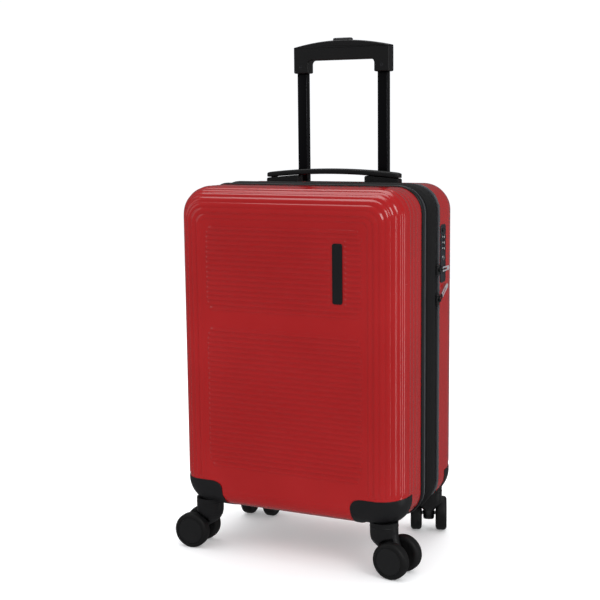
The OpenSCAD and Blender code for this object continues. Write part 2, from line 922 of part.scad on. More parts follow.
// side is -1 or 1 along the axle
module wheel(c, side) {
    inner = wheel_gap / 2 - wheel_w / 2;
    color([0.06, 0.06, 0.06]) at_caster(c) translate([trail, 0, wheel_r]) rotate([side > 0 ? -90 : 90, 0, 0])
        translate([0, 0, inner]) difference() {
            rotate_extrude() {
                square([wheel_r - tread_r, wheel_w]);
                translate([0, tread_r]) square([wheel_r, wheel_w - 2 * tread_r]);
                for (z = [tread_r, wheel_w - tread_r]) translate([wheel_r - tread_r, z]) circle(tread_r);
            }
            translate([0, 0, -1]) cylinder(r = axle_r + run_play, h = hub_depth + 1);
        }
}

module fork_fl() { fork(fl); }
module fork_fr() { fork(fr); }
module fork_bl() { fork(bl); }
module fork_br() { fork(br); }
module axle_fl() { axle(fl); }
module axle_fr() { axle(fr); }
module axle_bl() { axle(bl); }
module axle_br() { axle(br); }
module wheel_fl_1() { wheel(fl, -1); }
module wheel_fl_2() { wheel(fl, 1); }
module wheel_fr_1() { wheel(fr, -1); }
module wheel_fr_2() { wheel(fr, 1); }
module wheel_bl_1() { wheel(bl, -1); }
module wheel_bl_2() { wheel(bl, 1); }
module wheel_br_1() { wheel(br, -1); }
module wheel_br_2() { wheel(br, 1); }

back_shell();
back_trim();
main_zip_back();
back_lining();
cross_straps();
strap_buckle();
trolley_dock();
outer_tubes();
tube_feet();
housing_back_left();
housing_back_right();
kingpins_back();
handle_mounts();
carry_handle();
middle_tubes();
inner_tubes();
grip_base();
grip_cover();
release_button();
release_yoke();
lock_body();
dial_shaft();
dial_1();
dial_2();
dial_3();
key_cylinder();
lock_release();
slider_upper();
slider_lower();
pull_upper();
pull_lower();
zip_band();
main_zip_front();
gusset();
front_shell();
front_trim();
expansion_zip();
front_lining();
mesh_pocket();
nameplate();
housing_front_left();
housing_front_right();
kingpins_front();
fork_fl();
axle_fl();
wheel_fl_1();
wheel_fl_2();
fork_fr();
axle_fr();
wheel_fr_1();
wheel_fr_2();
fork_bl();
axle_bl();
wheel_bl_1();
wheel_bl_2();
fork_br();
axle_br();
wheel_br_1();
wheel_br_2();
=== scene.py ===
import json
import math

import bmesh
import bpy
import numpy as np
from mathutils import Matrix


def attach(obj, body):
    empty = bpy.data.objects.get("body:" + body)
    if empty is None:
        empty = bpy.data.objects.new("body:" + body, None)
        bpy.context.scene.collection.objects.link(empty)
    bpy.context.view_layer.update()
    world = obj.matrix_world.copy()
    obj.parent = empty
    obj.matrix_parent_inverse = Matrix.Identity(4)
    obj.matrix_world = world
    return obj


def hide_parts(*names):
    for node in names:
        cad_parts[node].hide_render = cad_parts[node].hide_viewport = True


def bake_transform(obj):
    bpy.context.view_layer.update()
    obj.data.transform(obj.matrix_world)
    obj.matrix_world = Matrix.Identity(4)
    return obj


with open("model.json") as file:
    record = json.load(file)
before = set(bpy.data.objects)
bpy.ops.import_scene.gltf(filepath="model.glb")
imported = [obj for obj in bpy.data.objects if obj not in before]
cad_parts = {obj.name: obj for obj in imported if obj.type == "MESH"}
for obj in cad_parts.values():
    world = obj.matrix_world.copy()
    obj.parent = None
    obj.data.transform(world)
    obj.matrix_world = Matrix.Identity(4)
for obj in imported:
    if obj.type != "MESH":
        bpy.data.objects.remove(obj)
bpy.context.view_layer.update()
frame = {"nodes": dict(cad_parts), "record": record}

# Lengths are in millimetres until addPiece puts them into a mesh
bodyOf = {node: body for body, nodes in frame["record"]["behaviour"]["bodies"].items() for node in nodes}

# ---- camera and light ----

camera = dict(azimuth=26.14, pitch=8.24, roll=-0.63, distance=1811.4, across=-28.07,
              height=366.11, lens=73.613)


def placeCamera(c):
    # back runs from the target to the camera; right and up are turned by the roll
    a, e, r = (math.radians(c[k]) for k in ("azimuth", "pitch", "roll"))
    back = np.array([math.sin(a) * math.cos(e), -math.cos(a) * math.cos(e), math.sin(e)])
    right = np.array([math.cos(a), math.sin(a), 0])
    up = np.cross(back, right)
    place = right * c["across"] + np.array([0, 0, c["height"]]) + back * c["distance"]
    data = bpy.data.cameras.new("camera")
    data.lens, data.sensor_width = c["lens"], 36
    data.clip_end = 100
    obj = bpy.data.objects.new("camera", data)
    bpy.context.scene.collection.objects.link(obj)
    turn = np.eye(4)
    turn[:3, 0] = math.cos(r) * right + math.sin(r) * up
    turn[:3, 1] = math.cos(r) * up - math.sin(r) * right
    turn[:3, 2] = back
    turn[:3, 3] = place / 1000
    obj.matrix_world = Matrix(turn.tolist())
    bpy.context.scene.camera = obj


placeCamera(camera)

light = dict(world=(0.97, 0.98, 1.0), shown=1.05, diffuse=1.08, mirrored=0.13, floor=(0.93, 0.93, 0.93))
lamps = [
    dict(name="key", at=(2.0, -1.2, 1.7), to=(0, 0, 0.35), size=(0.9, 1.1), power=16),
    dict(name="top", at=(-0.3, 0.5, 2.6), to=(0, 0, 0.3), size=(2.0, 2.0), power=22),
    dict(name="fill", at=(-1.9, -1.2, 1.3), to=(0, 0, 0.3), size=(0.8, 1.8), power=3),
    dict(name="side", at=(2.2, 0.8, 0.15), to=(0, 0, 0.3), size=(0.25, 1.5), power=4),
]


def addLamp(c):
    data = bpy.data.lights.new(c["name"], "AREA")
    data.shape, data.size, data.size_y = "RECTANGLE", *c["size"]
    data.energy = c["power"]
    obj = bpy.data.objects.new(c["name"], data)
    bpy.context.scene.collection.objects.link(obj)
    away = np.array(c["at"]) - np.array(c["to"])
    away /= np.linalg.norm(away)
    side = np.cross([0, 0, 1.0], away)
    side /= np.linalg.norm(side)
    turn = np.eye(4)
    turn[:3, 0], turn[:3, 1], turn[:3, 2], turn[:3, 3] = side, np.cross(away, side), away, c["at"]
    obj.matrix_world = Matrix(turn.tolist())


for lamp in lamps:
    addLamp(lamp)


def makeWorld(c):
    # white behind the case, soft white for diffuse light, and dim in mirrored light
    world = bpy.data.worlds.new("studio")
    bpy.context.scene.world = world
    world.use_nodes = True
    tree = world.node_tree
    path = tree.nodes.new("ShaderNodeLightPath")
    power = c["diffuse"]
    for ray, value in (("Is Glossy Ray", c["mirrored"]), ("Is Camera Ray", c["shown"])):
        mix = tree.nodes.new("ShaderNodeMix")
        tree.links.new(path.outputs[ray], mix.inputs[0])
        if isinstance(power, float):
            mix.inputs[2].default_value = power
        else:
            tree.links.new(power, mix.inputs[2])
        mix.inputs[3].default_value = value
        power = mix.outputs[0]
    tree.nodes["Background"].inputs[0].default_value = (*c["world"], 1)
    tree.links.new(power, tree.nodes["Background"].inputs[1])


makeWorld(light)
bpy.context.scene.view_settings.view_transform = "Standard"
print("camera and lights placed")

# ---- finishes ----


class Wire:  # one socket, with the arithmetic that the finishes use

    def __init__(self, finish, socket):
        self.finish, self.socket = finish, socket

    def math(self, operation, *others, clamp=False):
        return self.finish.add("ShaderNodeMath", dict(operation=operation, use_clamp=clamp),
                               {k: v for k, v in enumerate((self, *others))})

    def swapped(self, operation, other):
        return self.finish.add("ShaderNodeMath", dict(operation=operation), {0: other, 1: self})

    def __add__(self, other): return self.math("ADD", other)
    def __sub__(self, other): return self.math("SUBTRACT", other)
    def __mul__(self, other): return self.math("MULTIPLY", other)
    def __truediv__(self, other): return self.math("DIVIDE", other)
    def __pow__(self, other): return self.math("POWER", other)
    def __rsub__(self, other): return self.swapped("SUBTRACT", other)
    __radd__, __rmul__ = __add__, __mul__

    def between(self, low, high):  # 0 at low to 1 at high, eased
        return self.finish.add("ShaderNodeMapRange", dict(interpolation_type="SMOOTHSTEP"),
                               {"Value": self, "From Min": low, "From Max": high})


class Finish:  # a material, its node tree and its one shader

    def __init__(self, name, **sockets):
        self.material = bpy.data.materials.new(name)
        self.material.use_nodes = True
        self.tree = self.material.node_tree
        self.shader = self.tree.nodes["Principled BSDF"]
        self.put(self.shader, sockets)
        self.place = Wire(self, self.tree.nodes.new("ShaderNodeTexCoord").outputs["Object"])
        finishes[name] = self

    def put(self, node, values):
        for key, value in values.items():
            socket = node.inputs[key.replace("_", " ") if isinstance(key, str) else key]
            if isinstance(value, Wire):
                self.tree.links.new(value.socket, socket)
            elif socket.type == "RGBA":
                socket.default_value = (*value, 1)
            else:
                socket.default_value = value

    def add(self, kind, settings=None, values=None, out=0):
        node = self.tree.nodes.new(kind)
        for key, value in (settings or {}).items():
            if key == "stops":
                for k, (at, color) in enumerate(value):
                    stop = node.color_ramp.elements[k] if k < 2 else node.color_ramp.elements.new(at)
                    stop.position, stop.color = at, (*color, 1)
            else:
                setattr(node, key, value)
        self.put(node, values or {})
        return Wire(self, node.outputs[out])

    def noise(self, scale, detail=3, rough=0.5, place=None):
        return self.add("ShaderNodeTexNoise", None, {"Vector": place or self.place, "Scale": scale,
                                                    "Detail": detail, "Roughness": rough})

    def axes(self):  # X, Y and Z of the place, each as its own wire
        apart = self.add("ShaderNodeSeparateXYZ", None, {0: self.place})
        return [Wire(self, s) for s in apart.socket.node.outputs]

    def stretched(self, x, y, z):
        return self.add("ShaderNodeMapping", None, {"Vector": self.place, "Scale": (x, y, z)})

    def mixed(self, factor, first, second):
        return self.add("ShaderNodeMix", dict(data_type="RGBA"), {0: factor, 6: first, 7: second}, out=2)

    def rough(self, wire):
        self.put(self.shader, {"Roughness": wire})
        return self

    def color(self, wire):
        self.put(self.shader, {"Base Color": wire})
        return self

    def bump(self, height, depth, strength=1.0):  # depth in metres for a height from 0 to 1
        self.put(self.shader, {"Normal": self.add("ShaderNodeBump", None, {
            "Strength": strength, "Distance": depth, "Height": height})})
        return self


finishes = {}


def plastic(name, color, rough, spread=0.05, grain=900, depth=0.00004, **sockets):
    # moulded plastic: a fine grain, faint cloudy patches in colour and gloss
    f = Finish(name, **sockets)
    cloud, fine = f.noise(9, 4), f.noise(grain, 2)
    f.color(f.mixed(cloud.between(0.3, 0.7), [c * 0.93 for c in color], [c * 1.07 for c in color]))
    f.rough(cloud * spread * 2 + fine * spread + (rough - spread * 1.5))
    f.bump(fine, depth)
    return f


def metal(name, color, rough, brushed=(60, 60, 900), **sockets):
    # metal with a brushed grain along one axis
    f = Finish(name, **{"Metallic": 1.0, **sockets})
    lines = f.noise(1, 3, place=f.stretched(*brushed))
    f.color(f.mixed(lines, [c * 0.86 for c in color], color))
    f.rough(lines * 0.16 + (rough - 0.08))
    f.bump(lines, 0.00002)
    return f


def cloth(name, color, pitch, depth, rough=0.85, sheen=0.2):
    # plain weave: over and under threads along three axes; the colour is darker where the weave lies low, a
    # painted shade between the threads, mixed with the yarn's slubby tone
    f = Finish(name, **{"Sheen Weight": sheen, "Sheen Roughness": 0.5})
    x, y, z = f.axes()
    turn = math.tau / (pitch * 2)
    facing = (x * turn).math("SINE") * (z * turn).math("SINE")
    edgeOn = (y * turn).math("SINE") * ((x + z) * turn).math("SINE")
    weave = facing + edgeOn * 0.8
    height = weave * 0.35 + 0.5 + (f.noise(2200, 2) - 0.5) * 0.5
    slub = f.noise(1, 3, place=f.stretched(160, 160, 900))
    dark, pale = [c * 0.55 for c in color], [min(1, c * 1.35) for c in color]
    # painted shade: the darker colour goes to the low parts of the weave, the slub adds the yarn's uneven
    # tone
    f.color(f.mixed(height.between(0.15, 0.85) * 0.7 + slub * 0.3, dark, pale))
    f.rough((1 - height) * 0.08 + rough)
    f.bump(height, depth)
    return f


def makeFinishes():
    red = Finish("redShell", **{"Coat Weight": 0.5, "Coat Roughness": 0.06, "IOR": 1.5})
    cloud, fine, scuffs = red.noise(6, 3), red.noise(700, 2), red.noise(1, 2,
                                                                        place=red.stretched(40, 40, 700))
    red.color(red.mixed(cloud.between(0.3, 0.7), (0.295, 0.0038, 0.0045), (0.33, 0.0055, 0.0065)))
    red.rough(cloud * 0.05 + scuffs.between(0.55, 0.8) * 0.08 + 0.17)
    red.bump(fine * 0.6 + scuffs * 0.4, 0.00003)

    plastic("housingBlack", (0.0075, 0.0075, 0.0085), 0.40, depth=0.00006)
    plastic("forkBlack", (0.0065, 0.0065, 0.0072), 0.42, depth=0.00006)
    plastic("hubBlack", (0.0080, 0.0080, 0.0085), 0.38, depth=0.00004)
    plastic("gripBlack", (0.0060, 0.0060, 0.0066), 0.42, grain=1300, depth=0.00005)
    plastic("buttonBlack", (0.02, 0.02, 0.022), 0.33)
    plastic("handleBlack", (0.0065, 0.0065, 0.0072), 0.55, grain=1300, depth=0.00005)
    plastic("dockBlack", (0.012, 0.012, 0.013), 0.42)
    plastic("lockBlack", (0.014, 0.015, 0.020), 0.30)
    plastic("dialBlack", (0.010, 0.010, 0.012), 0.36)
    plastic("dialWhite", (0.75, 0.75, 0.73), 0.5)
    plastic("sliderBlack", (0.010, 0.010, 0.011), 0.32)
    plastic("plateBlack", (0.006, 0.006, 0.007), 0.24, **{"Coat Weight": 0.3, "Coat Roughness": 0.1})
    plastic("footBlack", (0.02, 0.02, 0.02), 0.5)
    plastic("buckleBlack", (0.014, 0.014, 0.015), 0.36)
    plastic("pipingBlack", (0.0070, 0.0070, 0.0080), 0.36, grain=700, depth=0.00005)
    # the cord's light grey is a painted highlight along the front zip's bead and the back piping
    plastic("cordPaintedHighlight", (0.060, 0.062, 0.068), 0.24, spread=0.03, depth=0.00003)
    plastic("coilBlack", (0.012, 0.012, 0.014), 0.34)

    tread = Finish("treadRubber", **{"Specular IOR Level": 0.35})
    dust, fine = tread.noise(30, 4), tread.noise(1600, 2)
    tread.color(tread.mixed(dust.between(0.45, 0.75), (0.0060, 0.0060, 0.0062), (0.0110, 0.0110, 0.0112)))
    tread.rough(fine * 0.15 + dust * 0.1 + 0.42)
    tread.bump(fine, 0.00008)

    metal("tubeBlack", (0.028, 0.028, 0.031), 0.34, brushed=(900, 900, 14))
    metal("steel", (0.60, 0.60, 0.61), 0.34, brushed=(700, 700, 60))
    metal("pullSilver", (0.62, 0.63, 0.66), 0.30, brushed=(60, 60, 500), Metallic=0.55)

    cloth("tapeBlack", (0.0050, 0.0050, 0.0056), 0.0009, 0.00018, rough=0.7, sheen=0)
    cloth("bandBlack", (0.0045, 0.0045, 0.0052), 0.0012, 0.00022, rough=0.7, sheen=0)
    cloth("gussetBlack", (0.016, 0.016, 0.018), 0.0010, 0.00012)
    cloth("liningGrey", (0.16, 0.16, 0.17), 0.0011, 0.00012, sheen=0.35)
    cloth("webbingBlack", (0.020, 0.020, 0.022), 0.0016, 0.0003)

    net = Finish("netBlack", **{"Sheen Weight": 0.2})
    x, y, z = net.axes()
    ways = [((x + z * s) * (math.tau / 0.0056)).math("SINE").math("ABSOLUTE") for s in (1, -1)]
    hole = ways[0].math("MINIMUM", ways[1])
    net.color(net.mixed(net.noise(1500, 2), (0.012, 0.012, 0.013), (0.028, 0.028, 0.03)))
    net.rough(net.noise(900, 2) * 0.2 + 0.6)
    net.put(net.shader, {"Alpha": 1 - hole.between(0.42, 0.5)})
    net.bump(1 - hole, 0.0002)

    floor = Finish("floorPale", **{"Specular IOR Level": 0.2, "Emission Color": (1, 1, 1),
                                   "Emission Strength": 0.22})
    haze = floor.noise(3, 3)
    floor.color(floor.mixed(haze, [c * 0.99 for c in light["floor"]], light["floor"]))
    floor.rough(haze * 0.1 + 0.6)


makeFinishes()
print("finishes made:", len(finishes))

# ---- mesh helpers ----


def eased(x):  # 0 below 0, 1 above 1, smooth between
    x = np.clip(x, 0, 1)
    return x * x * (3 - 2 * x)


def gridFaces(rows, columns, wrapRows=False, wrapColumns=False, start=0):
    # quads between the points of a rows x columns grid
    i = np.arange(rows if wrapRows else rows - 1)[:, None]
    j = np.arange(columns if wrapColumns else columns - 1)[None]
    i1, j1 = (i + 1) % rows, (j + 1) % columns
    corners = np.broadcast_arrays(i * columns + j, i1 * columns + j, i1 * columns + j1, i * columns + j1)
    return start + np.stack(corners, -1).reshape(-1, 4)


def facedOut(points, faces):
    # six times the signed volume of the closed form; its faces turn round if that is negative
    total = 0.0
    for f in faces:
        a = points[f[:, 0]]
        for k in range(1, f.shape[1] - 1):
            total += np.einsum("ij,ij->", a, np.cross(points[f[:, k]], points[f[:, k + 1]]))
    return faces if total > 0 else [f[:, ::-1] for f in faces]


def joined(parts):
    # closed forms put into one mesh, each facing out
    points, faces, count = [], [], 0
    for p, f in parts:
        p = np.asarray(p, float).reshape(-1, 3)
        faces += [g + count for g in facedOut(p - p.mean(0), f)]
        points.append(p)
        count += len(p)
    return np.vstack(points), faces


def addPiece(name, form, like, finish, stands=(), slot=None, sharp=35, body=None, solid=None):
    # form is points in mm and a list of face arrays; like is the CAD node whose body it rides on
    points, faces = form
    data = bpy.data.meshes.new(name)
    data.from_pydata((points / 1000).tolist(), [], [row for f in faces for row in f.tolist()])
    data.validate()
    data.polygons.foreach_set("use_smooth", np.ones(len(data.polygons), bool))
    if sharp:
        data.set_sharp_from_angle(angle=math.radians(sharp))
    obj = bpy.data.objects.new(name, data)
    bpy.context.scene.collection.objects.link(obj)
    data.materials.append(finishes[finish].material)
    if solid:  # wall thickness of a sheet, in mm
        wall = obj.modifiers.new("wall", "SOLIDIFY")
        wall.thickness, wall.offset = solid / 1000, 0
    if body is None and like:
        body = bodyOf[like]
    if body:
        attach(obj, body)
    if stands:
        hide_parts(*stands)
    return obj


def roundRect(width, height, radius, arc=6):
    # rounded rectangle round the origin: its points, and which way is out at each
    return roundedPath([(-width / 2, -height / 2), (width / 2, -height / 2), (width / 2, height / 2),
                        (-width / 2, height / 2)], radius, arc)


def circleOf(radius, count=48):
    a = np.linspace(0, math.tau, count, endpoint=False)
    out = np.stack([np.cos(a), np.sin(a)], 1)
    return out * radius, out


def roundedPath(corners, radii, arc=6):
    # polygon whose corners are arcs: each arc touches both sides at radius * tan(half the turn)
    corners = np.asarray(corners, float)
    radii = np.broadcast_to(radii, len(corners))
    points, outs = [], []
    for k, (corner, radius) in enumerate(zip(corners, radii)):
        before, after = corners[k - 1] - corner, corners[(k + 1) % len(corners)] - corner
        before, after = before / np.linalg.norm(before), after / np.linalg.norm(after)
        turn = math.atan2(np.cross(-before, after), -before @ after)
        outward = np.array([-before[1], before[0]])  # right of the way in, for a path run anticlockwise
        first = corner + before * radius * math.tan(abs(turn) / 2)
        side = math.copysign(1, turn)
        middle = first - outward * radius * side
        a = np.linspace(0, turn, arc + 1)[:, None]
        out = np.hstack([outward[0] * np.cos(a) - outward[1] * np.sin(a),
                         outward[0] * np.sin(a) + outward[1] * np.cos(a)])
        points.append(middle + out * radius * side)
        outs.append(out)
    return np.vstack(points), np.vstack(outs)


def stacked(outline, levels):
    # the outline moved in by each level's inset and set at its height; flat ends
    points, outs = outline
    insets, heights = np.array(levels, float).T
    flat = points[None] - outs[None] * insets[:, None, None]
    high = np.broadcast_to(heights[:, None, None], (*flat.shape[:2], 1))
    n = len(points)
    ends = np.arange(n)[None]
    return (np.concatenate([flat, high], 2).reshape(-1, 3),
            [gridFaces(len(levels), n, wrapColumns=True), ends, ends + n * (len(levels) - 1)])


def roundedLevels(low, high, edge, steps=4):
    # levels of a slab whose top and bottom edges are quarter rounds of radius edge
    a = np.linspace(0, math.pi / 2, steps + 1)
    up = np.stack([edge * (1 - np.sin(a)), low + edge * (1 - np.cos(a))], 1)
    down = np.stack([edge * (1 - np.sin(a[::-1])), high - edge * (1 - np.cos(a[::-1]))], 1)
    return np.vstack([up, down])


def turned(form, origin=(0, 0, 0), u=(1, 0, 0), v=(0, 1, 0), w=(0, 0, 1)):
    points, faces = form
    return np.asarray(origin, float) + points @ np.array([u, v, w], float), faces


alongX = dict(u=(0, 1, 0), v=(0, 0, 1), w=(1, 0, 0))
alongY = dict(u=(1, 0, 0), v=(0, 0, 1), w=(0, -1, 0))


def onCaster(form, caster):
    # a form in the caster's own frame, set on its swivel axis and turned to its direction
    a = math.radians(caster["turn"])
    return turned(form, (caster["x"], caster["y"], 0), (math.cos(a), math.sin(a), 0),
                  (-math.sin(a), math.cos(a), 0))


# ---- the body's surface ----

case = dict(halfWidth=172.5, halfHeight=235, middle=301, corner=38, cornerFall=0.65, face=121.4,
            edgeIn=34, edgeDeep=46, flatFrom=50, wall=2.6, frontRim=-33, backRim=43, hingeInset=1.6)


def edgeTable(c):
    # from the flat face over a quarter ellipse to the straight side: the way along, and at
    # each place its inset, its depth and how much of the normal points out and to the face
    a = np.linspace(0, math.pi / 2, 181)
    inset = np.concatenate([[c["flatFrom"]], c["edgeIn"] * (1 - np.sin(a)), [0]])
    depth = np.concatenate([[0], c["edgeDeep"] * (1 - np.cos(a)), [c["edgeDeep"] + 60]])
    out = np.concatenate([[0], np.sin(a) / c["edgeIn"], [1]])
    toFace = np.concatenate([[1], np.cos(a) / c["edgeDeep"], [0]])
    size = np.hypot(out, toFace)
    way = np.concatenate([[0], np.cumsum(np.hypot(np.diff(inset), np.diff(depth)))])
    return way, inset, depth, out / size, toFace / size


edge = edgeTable(case)


def wayAtDepth(depth):
    return np.interp(depth, edge[2][1:], edge[0][1:])


def wallPoint(side, loop, way, lift=0.0):
    # a point on the case: loop gives where it is round the outline (two straight shares and the
    # normal's angle), way how far it is from the flat face's edge, lift how far it stands off.
    # A negative way runs to the middle of the face, which is at -100.
    c = case
    alongWide, alongTall, angle = loop
    inset, depth, out, toFace = (np.interp(way, edge[0], column) for column in edge[1:])
    radius = c["corner"] - c["cornerFall"] * inset
    shrink = 1 + np.minimum(way, 0) / 100
    x = alongWide * (c["halfWidth"] - inset - radius) + (radius + lift * out) * np.cos(angle)
    z = alongTall * (c["halfHeight"] - inset - radius) + (radius + lift * out) * np.sin(angle)
    y = side * (c["face"] - depth + lift * toFace)
    x, y, z = np.broadcast_arrays(x * shrink, y, z * shrink + c["middle"])
    return np.stack([x, y, z], -1)


def outlineLoop(wide, tallLow, corner, tall=40):
    # once round the outline from the lower left, anticlockwise from the front
    across = np.linspace(-1, 1, wide, endpoint=False)
    up = np.concatenate([np.linspace(-1, -0.86, tallLow, endpoint=False),
                         np.linspace(-0.86, 1, tall, endpoint=False)])
    turn = np.linspace(0, math.pi / 2, corner, endpoint=False)
    parts = [(across, -1, -math.pi / 2), (1, -1, turn - math.pi / 2), (1, up, 0), (1, 1, turn),
             (-across, 1, math.pi / 2), (-1, 1, turn + math.pi / 2),
             (-1, np.concatenate([[1], up[:0:-1]]), math.pi),
             (-1, -1, turn + math.pi)]
    return tuple(np.concatenate([np.broadcast_to(p[k], np.broadcast(*p).shape).ravel() for p in parts])
                 for k in range(3))


def aroundRing(insetY, loop):
    # a closed profile of insets and depths carried round the outline; what stands proud of the
    # case sinks back towards the left side, where the lid's hinge is
    c = case
    inset, y = np.asarray(insetY, float).T
    a, b, angle = (q[:, None] for q in loop)
    proud = eased(1 - np.maximum(0, -np.cos(angle)))
    inset = np.where(inset < c["hingeInset"], c["hingeInset"] + (inset - c["hingeInset"]) * proud, inset)
    radius = c["corner"] - c["cornerFall"] * inset
    x = a * (c["halfWidth"] - inset - radius) + radius * np.cos(angle)
    z = b * (c["halfHeight"] - inset - radius) + radius * np.sin(angle) + c["middle"]
    x, y, z = np.broadcast_arrays(x, y, z)
    return np.stack([x, y, z], -1).reshape(-1, 3), [gridFaces(len(loop[0]), len(insetY), True, True)]


coarseLoop = outlineLoop(36, 4, 12)
fineLoop = outlineLoop(44, 16, 16, 46)

# ---- shells ----

shellShape = dict(panelHalf=120.5, upper=(361, 483, 17), lower=(131.5, 337.5, 28), fill=0.74, rise=1.5,
                  endShort=5,
                  crests=(9.5, 17.8, 26.2, 35, 44, 53.5, 64, 76, 89, 102), crestRise=(1.5, 0.3),
                  crestHalf=0.44,
                  crestPower=(0.9, 1.6), sideFrom=50,
                  ribEnd=117, plate=(85, 422, 15, 83, 2.6))
housingShape = dict(start=101.5, top=110, deep=56, corner=15, proud=0.8, foot=10, sunk=3.0,
                    casterX=140, casterY=90, archTop=75, archRadius=23.5, archEase=8)


def panelHeight(x, z, side):
    # capsule ribs in rows: the height is the root of one less the squared distance across a
    # rib and past its end, each measured in the rib's half width
    c, high = shellShape, np.zeros(np.broadcast(x, z).shape)
    for low, top, count in (c["upper"], c["lower"]):
        pitch = (top - low) / count
        k = np.clip(np.floor((z - low) / pitch), 0, count - 1)
        half = pitch * c["fill"] / 2
        edgeRow = np.minimum(k, count - 1 - k)
        end = c["panelHalf"] - half - c["endShort"] * ((edgeRow == 0) + 0.25 * (edgeRow == 1))
        across = (z - (low + (k + 0.5) * pitch)) / half
        past = np.maximum(np.abs(x) - end, 0) / half
        high = np.maximum(high, np.clip(1 - across ** 2 - past ** 2, 0, 1) ** 0.7 * c["rise"])
    if side < 0:  # flat ground round the nameplate
        px, pz, w, h, margin = c["plate"]
        clear = np.maximum(np.abs(x - px) - w / 2 - margin, np.abs(z - pz) - h / 2 - margin)
        high = high * eased(clear / 1.2)
    return high


def edgeRibHeight(way, points, side):
    # rounded ribs that run round the edge and end in a rounded tip above the corner housings
    c = shellShape
    crests = np.array(c["crests"])
    gap = np.gradient(crests)
    rises = np.linspace(*c["crestRise"], len(crests)) * np.where((side > 0) & (crests > 60), 0, 1)
    past = np.clip((c["ribEnd"] - points[..., 2]) / 4, 0, 2)
    high = np.zeros(points.shape[:-1])
    for crest, rise, room in zip(crests, rises, gap):
        across = (way - crest) / (room * c["crestHalf"])
        power = c["crestPower"][0 if crest < c["sideFrom"] else 1]
        high = np.maximum(high, np.clip(1 - across ** 2 - past ** 2, 0, 1) ** power * rise)
    return high


def casterArch(points, lift=0.0):
    # the underside rises to the fork's seam round each swivel axis
    h = housingShape
    reach = np.hypot(np.abs(points[..., 0]) - h["casterX"], np.abs(points[..., 1]) - h["casterY"])
    share = eased(1 - (reach - h["archRadius"]) / h["archEase"])
    top = h["archTop"] + lift
    z = points[..., 2]
    points[..., 2] = np.where((z < top) & (share > 0), z + (top - z) * share, z)
    return points


def underHousing(points):
    # 1 well inside the corner that a housing covers, 0 at its edge and beyond
    h = housingShape
    inside = np.minimum(np.minimum(np.abs(points[..., 0]) - h["start"], h["top"] - points[..., 2]),
                        np.abs(points[..., 1]) - (case["face"] + 1.6 - h["deep"]))
    return eased((inside - 2) / 3)


